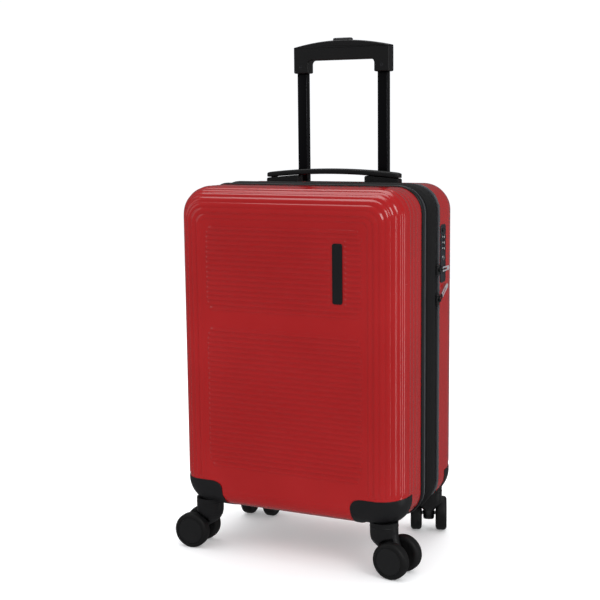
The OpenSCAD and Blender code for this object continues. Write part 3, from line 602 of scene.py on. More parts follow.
def makeShell(side):
    # outer wall: a patch of rows for the panels and a ring of ribs round it, stitched together;
    # then the rim and an inner wall that closes at the middle of the face
    c, s = case, shellShape
    innerWide, innerTall = c["halfWidth"] - c["flatFrom"], c["halfHeight"] - c["flatFrom"]
    radius = c["corner"] - c["cornerFall"] * c["flatFrom"]
    turn = np.linspace(0, math.pi / 2, 21)
    rows = []
    for low, top, count in (s["lower"], s["upper"]):
        rows.append(np.linspace(low, top, count * 7 + 1))
    straight = np.unique(np.round(np.concatenate([
        np.linspace(c["middle"] - innerTall + radius, rows[0][0], 4), rows[0],
        np.linspace(rows[0][-1], rows[1][0], 8),
        rows[1], np.linspace(rows[1][-1], c["middle"] + innerTall, 3)]), 4))
    straight = straight[(straight > c["middle"] - innerTall + radius) & (straight < c["middle"] + innerTall
                                                                         - radius)]
    bend = (innerTall - radius) + radius * np.sin(turn)
    rowZ = np.concatenate([c["middle"] - bend[::-1], straight, c["middle"] + bend])
    rowHalf = np.interp(np.abs(rowZ - c["middle"]), bend, innerWide - radius + radius * np.cos(turn))
    rowHalf = np.where(np.abs(rowZ - c["middle"]) <= bend[0], innerWide, rowHalf)
    rowHalf = np.where(np.isclose(np.abs(rowZ - c["middle"]), bend[-1]), innerWide - radius, rowHalf)
    near = np.array([0.60, 0.612, 0.622, 0.632, 0.75, 0.762, 0.772, 0.785])
    columns = np.unique(np.round(np.concatenate([np.linspace(-0.93, 0.93, 50), near, -near,
                                                 np.linspace(0.93, 1, 14), -np.linspace(0.93, 1, 14)]), 5))
    x = rowHalf[:, None] * columns[None]
    z = np.broadcast_to(rowZ[:, None], x.shape)
    patch = np.stack([x, side * (c["face"] + panelHeight(x, z, side)), z], -1)
    nr, nc = x.shape
    index = np.arange(nr * nc).reshape(nr, nc)
    rimIndex = np.concatenate([index[0, :-1], index[:-1, -1], index[-1, :0:-1], index[:0:-1, 0]])
    loop = fineLoop
    start = int(np.argmin(np.hypot(patch.reshape(-1, 3)[rimIndex, 0] + innerWide - radius,
                                   patch.reshape(-1, 3)[rimIndex, 2] - c["middle"] + innerTall)))
    rimIndex = np.roll(rimIndex, -start)
    rimWay = wayAtDepth(c["face"] - abs(c["frontRim"] if side < 0 else c["backRim"]))
    ways = np.concatenate([np.arange(1.0, 82, 0.95), np.arange(82.5, rimWay - 1, 1.6), [rimWay]])
    one = tuple(q[None, :] for q in loop)
    flat = wallPoint(side, one, ways[:, None])
    lift = edgeRibHeight(ways[:, None], flat, side)
    lift = lift * eased((rimWay - ways[:, None]) / 6) - housingShape["sunk"] * underHousing(flat)
    ring = casterArch(wallPoint(side, one, ways[:, None], lift), 3)
    n = len(loop[0])

    def share(points):  # way round a closed run of points, from 0 to 1
        step = np.linalg.norm(np.diff(points, axis=0, append=points[:1]), axis=1)
        return np.concatenate([[0], np.cumsum(step)[:-1]]) / step.sum()

    dense, sparse = share(patch.reshape(-1, 3)[rimIndex][:, [0, 2]]), share(ring[0][:, [0, 2]])
    nearest = np.searchsorted((sparse + np.append(sparse[1:], 1)) / 2, dense) % n
    following, ahead = np.roll(rimIndex, -1), np.roll(nearest, -1)
    base = nr * nc
    fans = np.stack([rimIndex, following, base + nearest], 1)
    steps = ahead != nearest
    fans2 = np.stack([following[steps], base + ahead[steps], base + nearest[steps]], 1)
    innerWays = np.concatenate([np.linspace(rimWay, 16, 18), [0]])
    inner = wallPoint(side, one, innerWays[:, None], -c["wall"])
    inner = np.where(underHousing(inner)[..., None] > 0,
                     wallPoint(side, one, innerWays[:, None], -c["wall"] - 4), inner)
    inner = casterArch(inner, 6)
    middle = np.array([[0, side * (c["face"] - c["wall"]), c["middle"]]])
    rings = np.concatenate([ring.reshape(-1, 3), inner.reshape(-1, 3)])
    count = len(ways) + len(innerWays)
    last = base + (count - 1) * n + np.arange(n)
    fan3 = np.stack([last, np.full(n, base + count * n), np.roll(last, -1)], 1)
    points = np.concatenate([patch.reshape(-1, 3), rings, middle])
    quads = gridFaces(count, n, wrapColumns=True, start=base)
    faces = [gridFaces(nr, nc), np.vstack([fans, fans2]), quads, fan3]
    return points, faces


def consistent(form, name):
    # all faces of a closed form turned to agree, then to face out
    data = bpy.data.meshes.new(name)
    data.from_pydata(form[0].tolist(), [], [row for f in form[1] for row in f.tolist()])
    work = bmesh.new()
    work.from_mesh(data)
    bmesh.ops.recalc_face_normals(work, faces=work.faces)
    openEdges = sum(1 for e in work.edges if len(e.link_faces) != 2)
    work.to_mesh(data)
    work.free()
    print(name, "faces", len(data.polygons), "open edges", openEdges)
    points = np.array([v.co[:] for v in data.vertices])
    faces = [np.array([p.vertices[:] for p in data.polygons if len(p.vertices) == k]) for k in (3, 4)]
    bpy.data.meshes.remove(data)
    return points, [f for f in faces if len(f)]


def carve(obj, cutter):
    # takes the cutter's form out of the piece, and leaves no modifier behind
    mod = obj.modifiers.new("cut", "BOOLEAN")
    mod.operation, mod.solver, mod.object = "DIFFERENCE", "EXACT", cutter
    bpy.context.view_layer.update()
    graph = bpy.context.evaluated_depsgraph_get()
    made = bpy.data.meshes.new_from_object(obj.evaluated_get(graph))
    obj.modifiers.remove(mod)
    obj.data = made
    bpy.data.objects.remove(cutter)


def cutterBox(low, high, radius=3):
    low, high = np.array(low, float), np.array(high, float)
    middle, size = (low + high) / 2, high - low
    form = stacked(roundRect(size[0], size[1], radius), [(0, -size[2] / 2), (0, size[2] / 2)])
    points, faces = joined([turned(form, middle)])
    data = bpy.data.meshes.new("cutter")
    data.from_pydata((points / 1000).tolist(), [], [row for f in faces for row in f.tolist()])
    obj = bpy.data.objects.new("cutter", data)
    bpy.context.scene.collection.objects.link(obj)
    return obj


dockShape = dict(x=85.75, y=(75, 109), wall=4, floor=496, under=493, proud=0.8)

addPiece("frontShell", consistent(makeShell(-1), "frontShell"), "front_shell", "redShell", ["front_shell"],
         "red_shell", sharp=50)
backShell = addPiece("backShell", consistent(makeShell(1), "backShell"), "back_shell", "redShell",
                     ["back_shell"], "red_shell", sharp=50)
carve(backShell, cutterBox((-dockShape["x"] + 1, dockShape["y"][0] + 1, 505),
                           (dockShape["x"] - 1, dockShape["y"][1] - 1, 545), 4))
print("shells made")

# ---- rims, zips and the band ----


def roundedProfile(corners, radii, arc=4):
    return roundedPath(corners, radii, arc)[0]


def ringPiece(name, corners, radii, node, finish, slot, **more):
    # a rounded profile of insets and depths, carried round the outline
    form = joined([aroundRing(roundedProfile(corners, radii), coarseLoop)])
    return addPiece(name, form, node, finish, [node], slot, **more)


# each corner is (inset from the body's side, depth): the piping and the cloth stand a little proud
ringPiece("frontPiping", [(0.9, -32.9), (-1.7, -31.8), (-2.6, -27.5), (-1.7, -23.2), (0.9, -22.1),
                          (4.6, -22.1), (4.6, -43), (2.8, -43),
                          (2.8, -32.9)], [0.3, 1.5, 8, 1.5, 0.3, 0.5, 0.3, 0.3, 0.2], "front_trim",
                          "pipingBlack", "trim_rubber")
# the front zip's bead and the back piping take the cord finish, whose light grey is a painted highlight
ringPiece("frontZipTape", [(1.6, -22), (-0.9, -20.8), (-1.2, -18.6), (0.6, -17.4), (2.2, -13.1),
                           (3.6, -13.1), (3.6, -22)],
          [0.5, 1.0, 0.8, 0.4, 0.3, 0.3, 0.3], "expansion_zip", "cordPaintedHighlight", "zip_black")
ringPiece("bandFabric", [(1.8, -5.2), (-2.4, -1), (-3.3, 9), (-2.0, 19.5), (1.6, 22.9), (4.0, 22.9),
                         (4.0, -12.8), (2.6, -12.8), (2.6, -5.2)],
          [0.5, 3, 30, 4, 0.5, 0.3, 0.3, 0.2, 0.3], "zip_band", "bandBlack", "trim_rubber")
ringPiece("backZipTapeFront", [(2.4, 23), (2.4, 31.9), (3.6, 31.9), (3.6, 23)], [0.3] * 4, "main_zip_front",
          "tapeBlack", "zip_black")
ringPiece("backZipTapeBack", [(2.4, 32.1), (2.4, 38), (3.6, 38), (3.6, 32.1)], [0.3] * 4, "main_zip_back",
          "tapeBlack", "zip_black")
ringPiece("backPiping", [(0.9, 38.1), (-0.5, 39), (-0.7, 40.8), (0.9, 42.9), (2.8, 42.9), (2.8, 53),
                         (4.6, 53), (4.6, 38.1)],
          [0.3, 0.9, 0.9, 0.3, 0.2, 0.3, 0.3, 0.5], "back_trim", "cordPaintedHighlight", "trim_rubber")

zipShape = dict(pitch=2.2, long=5.2, wide=1.5, high=1.7)


def coilTeeth(y, toward, shift):
    # one side of a zip: closed rods across the tape, spaced by length round the outline, each a
    # half ellipse over a flat base that thins towards its root
    c = zipShape
    ring = aroundRing([(2.5, y)], outlineLoop(80, 8, 24, 90))[0]
    step = np.linalg.norm(np.diff(ring, axis=0, append=ring[:1]), axis=1)
    way = np.concatenate([[0], np.cumsum(step)])
    count = int(round(way[-1] / c["pitch"]))
    at = (np.arange(count) + shift) * way[-1] / count
    closed = np.vstack([ring, ring[:1]])
    centre = np.stack([np.interp(at, way, closed[:, k]) for k in range(3)], 1)
    ahead = np.stack([np.interp((at + 0.3) % way[-1], way, closed[:, k]) for k in range(3)], 1) - centre
    ahead /= np.linalg.norm(ahead, axis=1)[:, None]
    out = np.cross(ahead, [0, 1, 0])
    out *= np.sign(np.einsum("ij,ij->i", out, centre - [0, 0, case["middle"]]))[:, None]
    a = np.linspace(0, math.tau, 7)[:-1]
    rod = np.array([0.25, 0.95, 1, 1, 0.6])
    along = np.array([0, 0.5, 2.5, c["long"] - 0.6, c["long"]])
    local = np.stack([np.cos(a)[None] * rod[:, None] * c["wide"] / 2,
                      np.broadcast_to(along[:, None], (5, 6)) * -toward,
                      (np.sin(a)[None] * rod[:, None] * 0.5 + 0.1) * c["high"]], -1).reshape(-1, 3)
    points = (centre[:, None] + ahead[:, None] * local[None, :, :1] + out[:, None] * local[None, :, 2:]
              + np.array([0, 1.0, 0]) * local[None, :, 1:2]).reshape(-1, 3)
    one = [gridFaces(5, 6, wrapColumns=True), np.arange(6)[None], np.arange(6)[None] + 24]
    first = facedOut(points[:30] - points[:30].mean(0), one)
    starts = (np.arange(count) * 30)[:, None, None]
    return points, [(f[None] + starts).reshape(-1, f.shape[1]) for f in first]


for name, y, toward, shift, node in (("frontZipTeethA", -13.15, 1, 0, "expansion_zip"),
                                     ("frontZipTeethB", -12.85, -1, 0.5, "zip_band"),
                                     ("backZipTeethA", 31.85, 1, 0, "main_zip_front"),
                                     ("backZipTeethB", 32.15, -1, 0.5, "main_zip_back")):
    addPiece(name, coilTeeth(y, toward, shift), node, "coilBlack", slot="zip_black", sharp=60)
print("band made")

gussetShape = dict(y=(-29, -11), inset=(5.2, 14), folds=6)


def makeGusset(c):
    # a pleated strip: its inset swings as a cosine from fold to fold while it crosses the gap
    t = np.linspace(0, 1, c["folds"] * 8 + 1)
    middle, swing = (c["inset"][0] + c["inset"][1]) / 2, (c["inset"][1] - c["inset"][0]) / 2
    inset = middle - swing * np.cos(math.pi * c["folds"] * t)
    y = c["y"][0] + (c["y"][1] - c["y"][0]) * t
    form = aroundRing(np.stack([inset, y], 1), coarseLoop)
    n = len(t)
    obj = addPiece("gussetPleats", (form[0], [gridFaces(len(coarseLoop[0]), n, True, False)]), None,
                   "gussetBlack", sharp=None)
    wall = obj.modifiers.new("wall", "SOLIDIFY")
    wall.thickness, wall.offset = 0.0006, 0
    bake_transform(obj)
    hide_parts("gusset")


makeGusset(gussetShape)

# ---- corner housings ----


def makeHousing(sx, sy):
    # the case's own surface, stood off a little: rows run from the face to the side wall's end, and
    # along each row from the inner edge, round the corner, up to the top edge
    h, c = housingShape, case
    start, top = h["start"], h["top"]
    maxWay = wayAtDepth(h["deep"] - 1.6)
    ways = np.concatenate([np.linspace(c["flatFrom"] - (top - 66) + 0.05, 14, 5, endpoint=False),
                           np.linspace(14, maxWay, 44)])
    inset = np.interp(ways, edge[0], edge[1])
    radius = c["corner"] - c["cornerFall"] * inset
    straightEnd = c["halfWidth"] - inset - radius
    low = c["middle"] - c["halfHeight"] + inset
    drop = np.clip(h["corner"] - (top - low), 0, h["corner"])
    first = start + h["corner"] - np.sqrt(np.maximum(h["corner"] ** 2 - drop ** 2, 0))
    first = first - h["foot"] * eased((6 - inset) / 6) ** 2
    lengthA = np.maximum(straightEnd - first, 0.01)
    first = np.minimum(first, straightEnd - 0.01)
    rise = np.clip((top - low) / radius, 0, 1)
    lengthB = radius * np.arccos(1 - rise)
    lengthC = np.maximum(top - low - radius, 0)
    total = lengthA + lengthB + lengthC
    t = np.linspace(0, 1, 72)[None]
    at = t * total[:, None]
    a, b = lengthA[:, None], lengthB[:, None]
    angle = -math.pi / 2 + np.clip(at - a, 0, b) / radius[:, None]
    alongWide = np.minimum(first[:, None] + at, straightEnd[:, None]) / straightEnd[:, None]
    tall = c["halfHeight"] - inset - radius
    alongTall = -1 + np.maximum(at - a - b, 0) / tall[:, None]
    loop = (alongWide, alongTall, angle)
    outer = casterArch(wallPoint(1, loop, ways[:, None], h["proud"]))
    inner = casterArch(wallPoint(1, loop, ways[:, None], -1.6), 2.4)
    nr, nc = outer.shape[:2]
    soft = wallPoint(1, loop, ways[:, None], h["proud"] - 0.35)
    outer[0], outer[-1], outer[:, 0], outer[:, -1] = soft[0], soft[-1], soft[:, 0], soft[:, -1]
    outer = casterArch(outer)
    points = np.concatenate([outer.reshape(-1, 3), inner.reshape(-1, 3)]) * [sx, sy, 1]
    grid = gridFaces(nr, nc)
    index = np.arange(nr * nc).reshape(nr, nc)
    rim = np.concatenate([index[0, :-1], index[:-1, -1], index[-1, :0:-1], index[:0:-1, 0]])
    after = np.roll(rim, -1)
    wall = np.stack([rim, after, after + nr * nc, rim + nr * nc], 1)
    faces = [np.vstack([grid, grid[:, ::-1] + nr * nc, wall[:, ::-1]])]
    return points, faces


for sx, word in ((-1, "left"), (1, "right")):
    for sy, where in ((-1, "front"), (1, "back")):
        node = f"housing_{where}_{word}"
        addPiece(f"housing{where.title()}{word.title()}", consistent(makeHousing(sx, sy), node), node,
                 "housingBlack", [node], "housing_black", sharp=50)
print("housings made")

# ---- casters ----

casters = dict(fl=dict(x=-140, y=-90, turn=184), fr=dict(x=140, y=-90, turn=-7),
               bl=dict(x=-140, y=90, turn=-85), br=dict(x=140, y=90, turn=110))
wheelShape = dict(trail=21, radius=26, width=17, gap=38, tread=5, hub=19.5)
forkShape = dict(top=74.5, half=20, spine=8.6, low=15.5, wheelRoom=27.4)


def makeFork(c, w):
    # level cross-sections, each an ellipse whose centre and halves change with height from the round
    # cup to the axle's boss; where a wheel runs, the sides are drawn in to the spine's width
    z = np.concatenate([np.linspace(c["low"], 54, 46, endpoint=False), np.linspace(54, c["top"], 14)])
    table = np.array([  # height, centre, half along, half across
        (15.5, 21, 1.5, 6), (17, 21, 5.6, 8.0), (20, 20.6, 8.9, 8.6), (26, 19.6, 12.2, 8.6),
        (32, 14.6, 16.2, 8.8),
        (38, 8.5, 19.4, 10.5), (43, 4.4, 20.2, 14.5), (48, 1.8, 20.4, 18.2), (53, 0.5, 20.2, 19.7),
        (57, 0, 20, 20), (74.5, 0, 20, 20)])
    middle, along, across = (np.interp(z, table[:, 0], table[:, k])[:, None] for k in (1, 2, 3))
    n = 96
    a = np.linspace(0, math.tau, n, endpoint=False)[None]
    x, y = middle + along * np.cos(a), across * np.sin(a)
    reach = np.hypot(x - w["trail"], z[:, None] - w["radius"])
    share = eased((c["wheelRoom"] + 1.2 - reach) / 1.2)
    limit = np.minimum(np.abs(y), c["spine"])
    y = np.sign(y) * (np.abs(y) + (limit - np.abs(y)) * share)
    x, y, z3 = np.broadcast_arrays(x, y, z[:, None])
    points = np.stack([x, y, z3], -1).reshape(-1, 3)
    ends = np.arange(n)[None]
    body = (points, [gridFaces(len(z), n, wrapColumns=True), ends, ends + n * (len(z) - 1)])
    seam = stacked(circleOf(c["half"] + 0.35, 64),
                   [(1.2, 66.5), (0.3, 66.9), (0, 67.4), (0, 68.2), (0.3, 68.7), (1.2, 69.1)])
    return [body, seam]


def onAxle(form, side, w):
    # a form whose own axis is Z, laid on the axle with its face to the given side
    return turned(form, (w["trail"], 0, w["radius"]), (1, 0, 0), (0, 0, 1), (0, side, 0))


def makeWheel(w):
    # tyre: a tread with rounded shoulders; hub: a flat cover with a rounded rim and a faint dish
    r, g, t = w["radius"], w["gap"] / 2 - w["width"] / 2, w["tread"]
    end, a = g + w["width"], np.linspace(0, math.pi / 2, 8)
    tyre = [(r - w["hub"] + 0.5, g + 0.6), (t + 0.8, g), *zip(t * (1 - np.sin(a)), g + t * (1 - np.cos(a))),
            *zip(t * (1 - np.sin(a[::-1])), end - t * (1 - np.cos(a[::-1]))), (t + 0.8, end),
            (r - w["hub"] - 0.1, end - 0.1),
            (r - w["hub"], end - 1.0)]
    hub = [(0, g + 0.9), (0, end - 1.1), (0.3, end - 0.5), (0.9, end - 0.2), (2.0, end - 0.1),
           (9.5, end - 0.16),
           (11, end - 0.1), (17.5, end - 0.1)]
    return stacked(circleOf(r, 72), tyre), stacked(circleOf(w["hub"] - 0.15, 72), hub)


tyre, hub = makeWheel(wheelShape)
for key, caster in casters.items():
    addPiece(f"fork_{key}_moulding", joined([onCaster(f, caster) for f in makeFork(forkShape, wheelShape)]),
             f"fork_{key}",
             "forkBlack", [f"fork_{key}"], "housing_black", sharp=40)
    for number, side in ((1, -1), (2, 1)):
        node = f"wheel_{key}_{number}"
        addPiece(f"tyre_{key}_{number}", joined([onCaster(onAxle(tyre, side, wheelShape), caster)]), node,
                 "treadRubber", [node], "wheel_black")
        addPiece(f"hub_{key}_{number}", joined([onCaster(onAxle(hub, side, wheelShape), caster)]), node,
                 "hubBlack", slot="wheel_black", sharp=25)
print("casters made")

# ---- trolley ----

trolleyShape = dict(x=66, y=92, tube=(16, 12), step=3.2, wall=1.2, corner=1.5)
gripShape = dict(half=78.25, leg=24.5, low=699, bar=718, crown=747, drop=9, split=736, depth=20, edge=4,
                 inward=0.4,
                 screwY=82, screwZ=708.5, collarZ=3)


def tubePair(stage, low, high):
    # two tubes with rounded corners: outside, over the top edge, and back down the bore
    c = trolleyShape
    w, d = (s + stage * c["step"] for s in c["tube"])
    outer, outs = roundRect(w, d, c["corner"] + stage * 0.4)
    t = c["wall"]
    rings = [(0.3, low), (0, low + 0.3), (0, high - 0.3), (0.3, high), (t - 0.3, high), (t, high - 0.3),
             (t, low + 0.3), (t - 0.3, low)]
    n = len(outer)
    parts = []
    for side in (-1, 1):
        points = np.concatenate([np.hstack([outer - outs * i, np.full((n, 1), z)]) for i, z in rings])
        parts.append((points + [side * c["x"], c["y"], 0], [gridFaces(len(rings), n, True, True)]))
    return joined(parts)


for name, node, stage, low, high in (("innerTubes", "inner_tubes", 0, 389, 721),
                                     ("middleTubes", "middle_tubes", 1, 92, 495.5),
                                     ("outerTubes", "outer_tubes", 2, 88, 495)):
    addPiece(name, tubePair(stage, low, high), node, "tubeBlack", [node], "tube_black", sharp=50)


def gripParts(c):
    # front view of the grip as two rounded outlines, the base below the split and the cover above it
    radius = (c["half"] ** 2 + c["drop"] ** 2) / (2 * c["drop"])
    x = np.linspace(c["half"], -c["half"], 33)
    crown = c["crown"] - radius + np.sqrt(radius ** 2 - x ** 2)
    inside = c["half"] - c["leg"]
    base = [(-c["half"], c["low"]), (-inside, c["low"]), (-inside, c["bar"]), (inside, c["bar"]),
            (inside, c["low"]),
            (c["half"], c["low"]), (c["half"], c["split"] - 0.15), (-c["half"], c["split"] - 0.15)]
    cover = [(-c["half"], c["split"] + 0.15), (c["half"], c["split"] + 0.15), *zip(x, crown)]
    baseOutline = roundedPath(base, [2.2, 2.2, 6, 6, 2.2, 2.2, 0.3, 0.3])
    coverOutline = roundedPath(cover, [0.3, 0.3, 1.0] + [0.2] * 31 + [1.0], 3)
    for points, outs in (baseOutline, coverOutline):  # the two meet square at the split
        meeting = np.abs(points[:, 1] - c["split"]) < 0.5
        outs[meeting] = np.stack([np.sign(points[meeting, 0]), np.zeros(meeting.sum())], 1)
    middle = -trolleyShape["y"]
    levels = roundedLevels(middle - c["depth"] / 2, middle + c["depth"] / 2, c["edge"],
                           6) * [c["inward"], 1]
    return [joined([turned(stacked(o, levels), **alongY)]) for o in (baseOutline, coverOutline)]


gripBase, gripCover = gripParts(gripShape)
addPiece("gripBase", gripBase, "grip_base", "gripBlack", ["grip_base"], "grip_black", sharp=60)
addPiece("gripCover", gripCover, "grip_cover", "gripBlack", ["grip_cover"], "grip_black", sharp=60)
screw = stacked(circleOf(2.6, 28), [(0, -1), (0, 0.1), (0.35, 0.35), (1.0, 0.4), (1.3, 0.1), (2.2, 0.1)])
sockets = stacked(roundRect(22.5, 17.5, 4.2), roundedLevels(696.6, 700.4, 1.2))
addPiece("gripScrews", joined([turned(screw,
                                      (s * trolleyShape["x"], gripShape["screwY"], gripShape["screwZ"]),
                                      **alongY)
                               for s in (-1, 1)]), "grip_base", "dialBlack", slot="steel", sharp=30)
addPiece("gripCollars", joined([turned(sockets,
                                       (s * trolleyShape["x"], trolleyShape["y"], gripShape["collarZ"]))
                               for s in (-1, 1)]), "grip_base", "gripBlack", slot="grip_black", sharp=50)
button = stacked(roundRect(30, 11, 3.2), [(0, 738), (0, 748.6), (0.5, 749.6), (1.3, 750.2), (2.2, 750.5),
                                          (2.9, 750.4)])
addPiece("releaseButton", joined([turned(button, (0, trolleyShape["y"], 0))]), "release_button",
         "buttonBlack", ["release_button"], "button_black", sharp=40)


def makeDock(c):
    # a collar round the pocket: it follows the case's top, turns over its lip and goes down to a floor
    wide, deep, middle = 2 * c["x"], c["y"][1] - c["y"][0], (c["y"][0] + c["y"][1]) / 2
    outer, outs = roundRect(wide, deep, 6, 8)
    t = c["wall"]

    def top(flat):  # height of the case's surface above each point
        depth = case["face"] - (flat[:, 1] + middle)
        share = np.clip((case["edgeDeep"] - depth) / case["edgeDeep"], 0, 1)
        return case["middle"] + case["halfHeight"] - case["edgeIn"] * (1 - np.sqrt(1 - share ** 2))

    rings = []
    for inset, lift in ((0, -4), (0, 0.3), (0.4, c["proud"]), (t - 1.2, c["proud"]), (t - 0.4, 0.5),
                        (t, -0.6)):
        flat = outer - outs * inset
        rings.append(np.hstack([flat, (top(flat) + lift)[:, None]]))
    flat = outer - outs * t
    rings.append(np.hstack([flat, np.full((len(flat), 1), c["floor"] + 1.5)]))
    rings.append(np.hstack([outer - outs * (t + 1.5), np.full((len(flat), 1), float(c["floor"]))]))
    rings.insert(0, np.hstack([outer, np.full((len(flat), 1), float(c["under"]))]))
    n = len(outer)
    points = np.concatenate(rings) + [0, middle, 0]
    ends = np.arange(n)[None]
    body = (points, [gridFaces(len(rings), n, wrapColumns=True), ends, ends + n * (len(rings) - 1)])
    return joined([body])


addPiece("trolleyDock", makeDock(dockShape), "trolley_dock", "dockBlack", ["trolley_dock"], "housing_black",
         sharp=50)

# ---- carry handle ----

handleShape = dict(y=52.5, half=109, mid=553, radius=993.1, wide=18, thick=8, mount=(54, 107.5),
                   postX=98, mountUnder=0.4)


def makeStrap(c):
    # a rounded section carried along a shallow arch; near both ends its halves shrink as a
    # superellipse, so that the strap ends in a soft tip
    x = c["half"] * np.sin(np.linspace(-math.pi / 2, math.pi / 2, 90))
    drop = c["radius"] - np.sqrt(c["radius"] ** 2 - x ** 2)
    tip = np.clip((np.abs(x) - (c["half"] - 12)) / 12, 0, 1)
    across = np.maximum((1 - tip ** 2.6), 0.0004) ** (1 / 2.6)
    section, _ = roundRect(1, 1, 0.22, 6)
    y = section[None, :, 0] * (c["wide"] * across)[:, None]
    z = section[None, :, 1] * (c["thick"] * np.maximum(across, 0.6) ** 0.6)[:, None]
    points = np.stack([np.broadcast_to(x[:, None], y.shape), c["y"] + y, (c["mid"] - drop)[:, None] + z],
                      -1).reshape(-1, 3)
    n = len(section)
    ends = np.arange(n)[None]
    return points, [gridFaces(len(x), n, wrapColumns=True), ends, ends + n * (len(x) - 1)]


def handlePair(form, c):  # one at each of the handle's two posts
    return [turned(form, (s * c["postX"], c["y"], 0)) for s in (-1, 1)]


posts = stacked(circleOf(5, 32), [(0, 517), (0, 549)])
addPiece("carryStrap", joined([makeStrap(handleShape)] + handlePair(posts, handleShape)),
         "carry_handle", "handleBlack", ["carry_handle"], "grip_black", sharp=50)


def makeMount(c):
    # a block under each end of the strap; its top is the arc of the strap's underside, a little lower
    x = np.linspace(c["mount"][1], c["mount"][0], 13)
    top = c["mid"] - c["thick"] / 2 - c["mountUnder"] - (c["radius"] - np.sqrt(c["radius"] ** 2 - x ** 2))
    corners = [(x[-1], 534.5), (x[0], 534.5), *zip(x, top)]
    outline = roundedPath(corners, [1.6, 1.6, 2.5] + [0.4] * 11 + [2.5], 4)
    block = turned(stacked(outline, roundedLevels(-c["y"] - 8, 8 - c["y"], 1.0)), **alongY)
    return [block, (block[0] * [-1, 1, 1], block[1])]


nut = stacked(circleOf(9, 32), roundedLevels(529.4, 533.4, 0.6))
addPiece("handleMounts", joined(makeMount(handleShape) + handlePair(nut, handleShape)),
         "handle_mounts", "handleBlack", ["handle_mounts"], "grip_black", sharp=50)
print("handles made")

# ---- lock, sliders and pulls ----

lockParts = dict(y=54, z=436, plate=(84, 21, 5), case=(18, 81, 2), window=(15.5, 7.9, 1.6), keyZ=430,
                 pushZ=470,
                 dialX=168.3, dialZ=(460, 451.7, 443.4), dialR=7, dialW=6.6, numeral=4.4)


def makeLockPlate(c):
    # a rounded plate with a raised rim over the lock's case; a window frames each dial
    height, width, corner = c["plate"]
    plate = stacked(roundRect(width, height, corner, 8),
                    [(0, 171.2), (0, 173.4), (0.3, 173.9), (0.8, 174.1), (1.5, 174.1), (1.9, 173.6),
                     (4.7, 173.6)])
    window = stacked(roundRect(*c["window"]), [(0, 173), (0, 174.0), (0.25, 174.15), (0.7, 174.15)])
    frames = [turned(window, (0, c["y"], z), **alongX) for z in c["dialZ"]]
    block = stacked(roundRect(*c["case"]), roundedLevels(152.6, 171.5, 0.8))
    return joined([turned(f, (0, c["y"], c["z"]), **alongX) for f in (plate, block)] + frames)


addPiece("lockPlate", makeLockPlate(lockParts), "lock_body", "lockBlack", ["lock_body"], "lock_black",
         sharp=40)


def dialRing(c, z):
    # a short drum with rounded rims and fine grip teeth: its radius swings with the angle
    a = np.linspace(0, math.tau, 160, endpoint=False)
    h = np.array([-1, -0.93, -0.8, -0.72, 0.72, 0.8, 0.93, 1]) * c["dialW"] / 2
    r = c["dialR"] - np.array([0.9, 0.35, 0.08, 0.0, 0.0, 0.08, 0.35, 0.9])
    teeth = 0.16 * (np.cos(a * 20) > 0.2)
    radius = r[:, None] - teeth[None] * np.array([0, 1, 1, 0, 0, 1, 1, 0])[:, None]
    points = np.stack([radius * np.cos(a) + c["dialX"], radius * np.sin(a) + c["y"],
                       np.broadcast_to(h[:, None], radius.shape) + z], -1).reshape(-1, 3)
    ends = np.arange(160)[None]
    return points, [gridFaces(8, 160, wrapColumns=True), ends, ends + 160 * 7]


def digitForm(digit, angle, c, z):
    # a plain numeral, cut from the drum's own surface: across becomes the angle, up stays up
    curve = bpy.data.curves.new("numeral", "FONT")
    curve.body, curve.size, curve.align_x, curve.align_y = str(digit), c["numeral"], "CENTER", "CENTER"
    curve.extrude, curve.resolution_u = 0.1, 2
    obj = bpy.data.objects.new("numeral", curve)
    bpy.context.scene.collection.objects.link(obj)
    data = bpy.data.meshes.new_from_object(obj.evaluated_get(bpy.context.evaluated_depsgraph_get()))
    flat = np.array([v.co[:] for v in data.vertices])
    polys = [tuple(p.vertices) for p in data.polygons]
    bpy.data.objects.remove(obj)
    bpy.data.meshes.remove(data)
    sizes = sorted({len(p) for p in polys})
    faces = [np.array([p for p in polys if len(p) == k]) for k in sizes]
    turn = angle + flat[:, 0] / c["dialR"]
    radius = c["dialR"] + flat[:, 2] - 0.02
    points = np.stack([c["dialX"] + radius * np.cos(turn), c["y"] + radius * np.sin(turn), z + flat[:, 1]],
                      -1)
    return points, faces


for k, z in enumerate(lockParts["dialZ"]):
    addPiece(f"dial{k + 1}", joined([dialRing(lockParts, z)]), f"dial_{k + 1}", "dialBlack",
             [f"dial_{k + 1}"], "dial_grey", sharp=30)
    numerals = [digitForm(d, math.tau * d / 10, lockParts, z) for d in range(10)]
    points = np.vstack([n[0] for n in numerals])
    offsets = np.cumsum([0] + [len(n[0]) for n in numerals[:-1]])
    addPiece(f"dial{k + 1}Numbers", (points, [f + o for n, o in zip(numerals, offsets) for f in n[1]]),
             f"dial_{k + 1}", "dialWhite", slot="dial_grey", sharp=None)

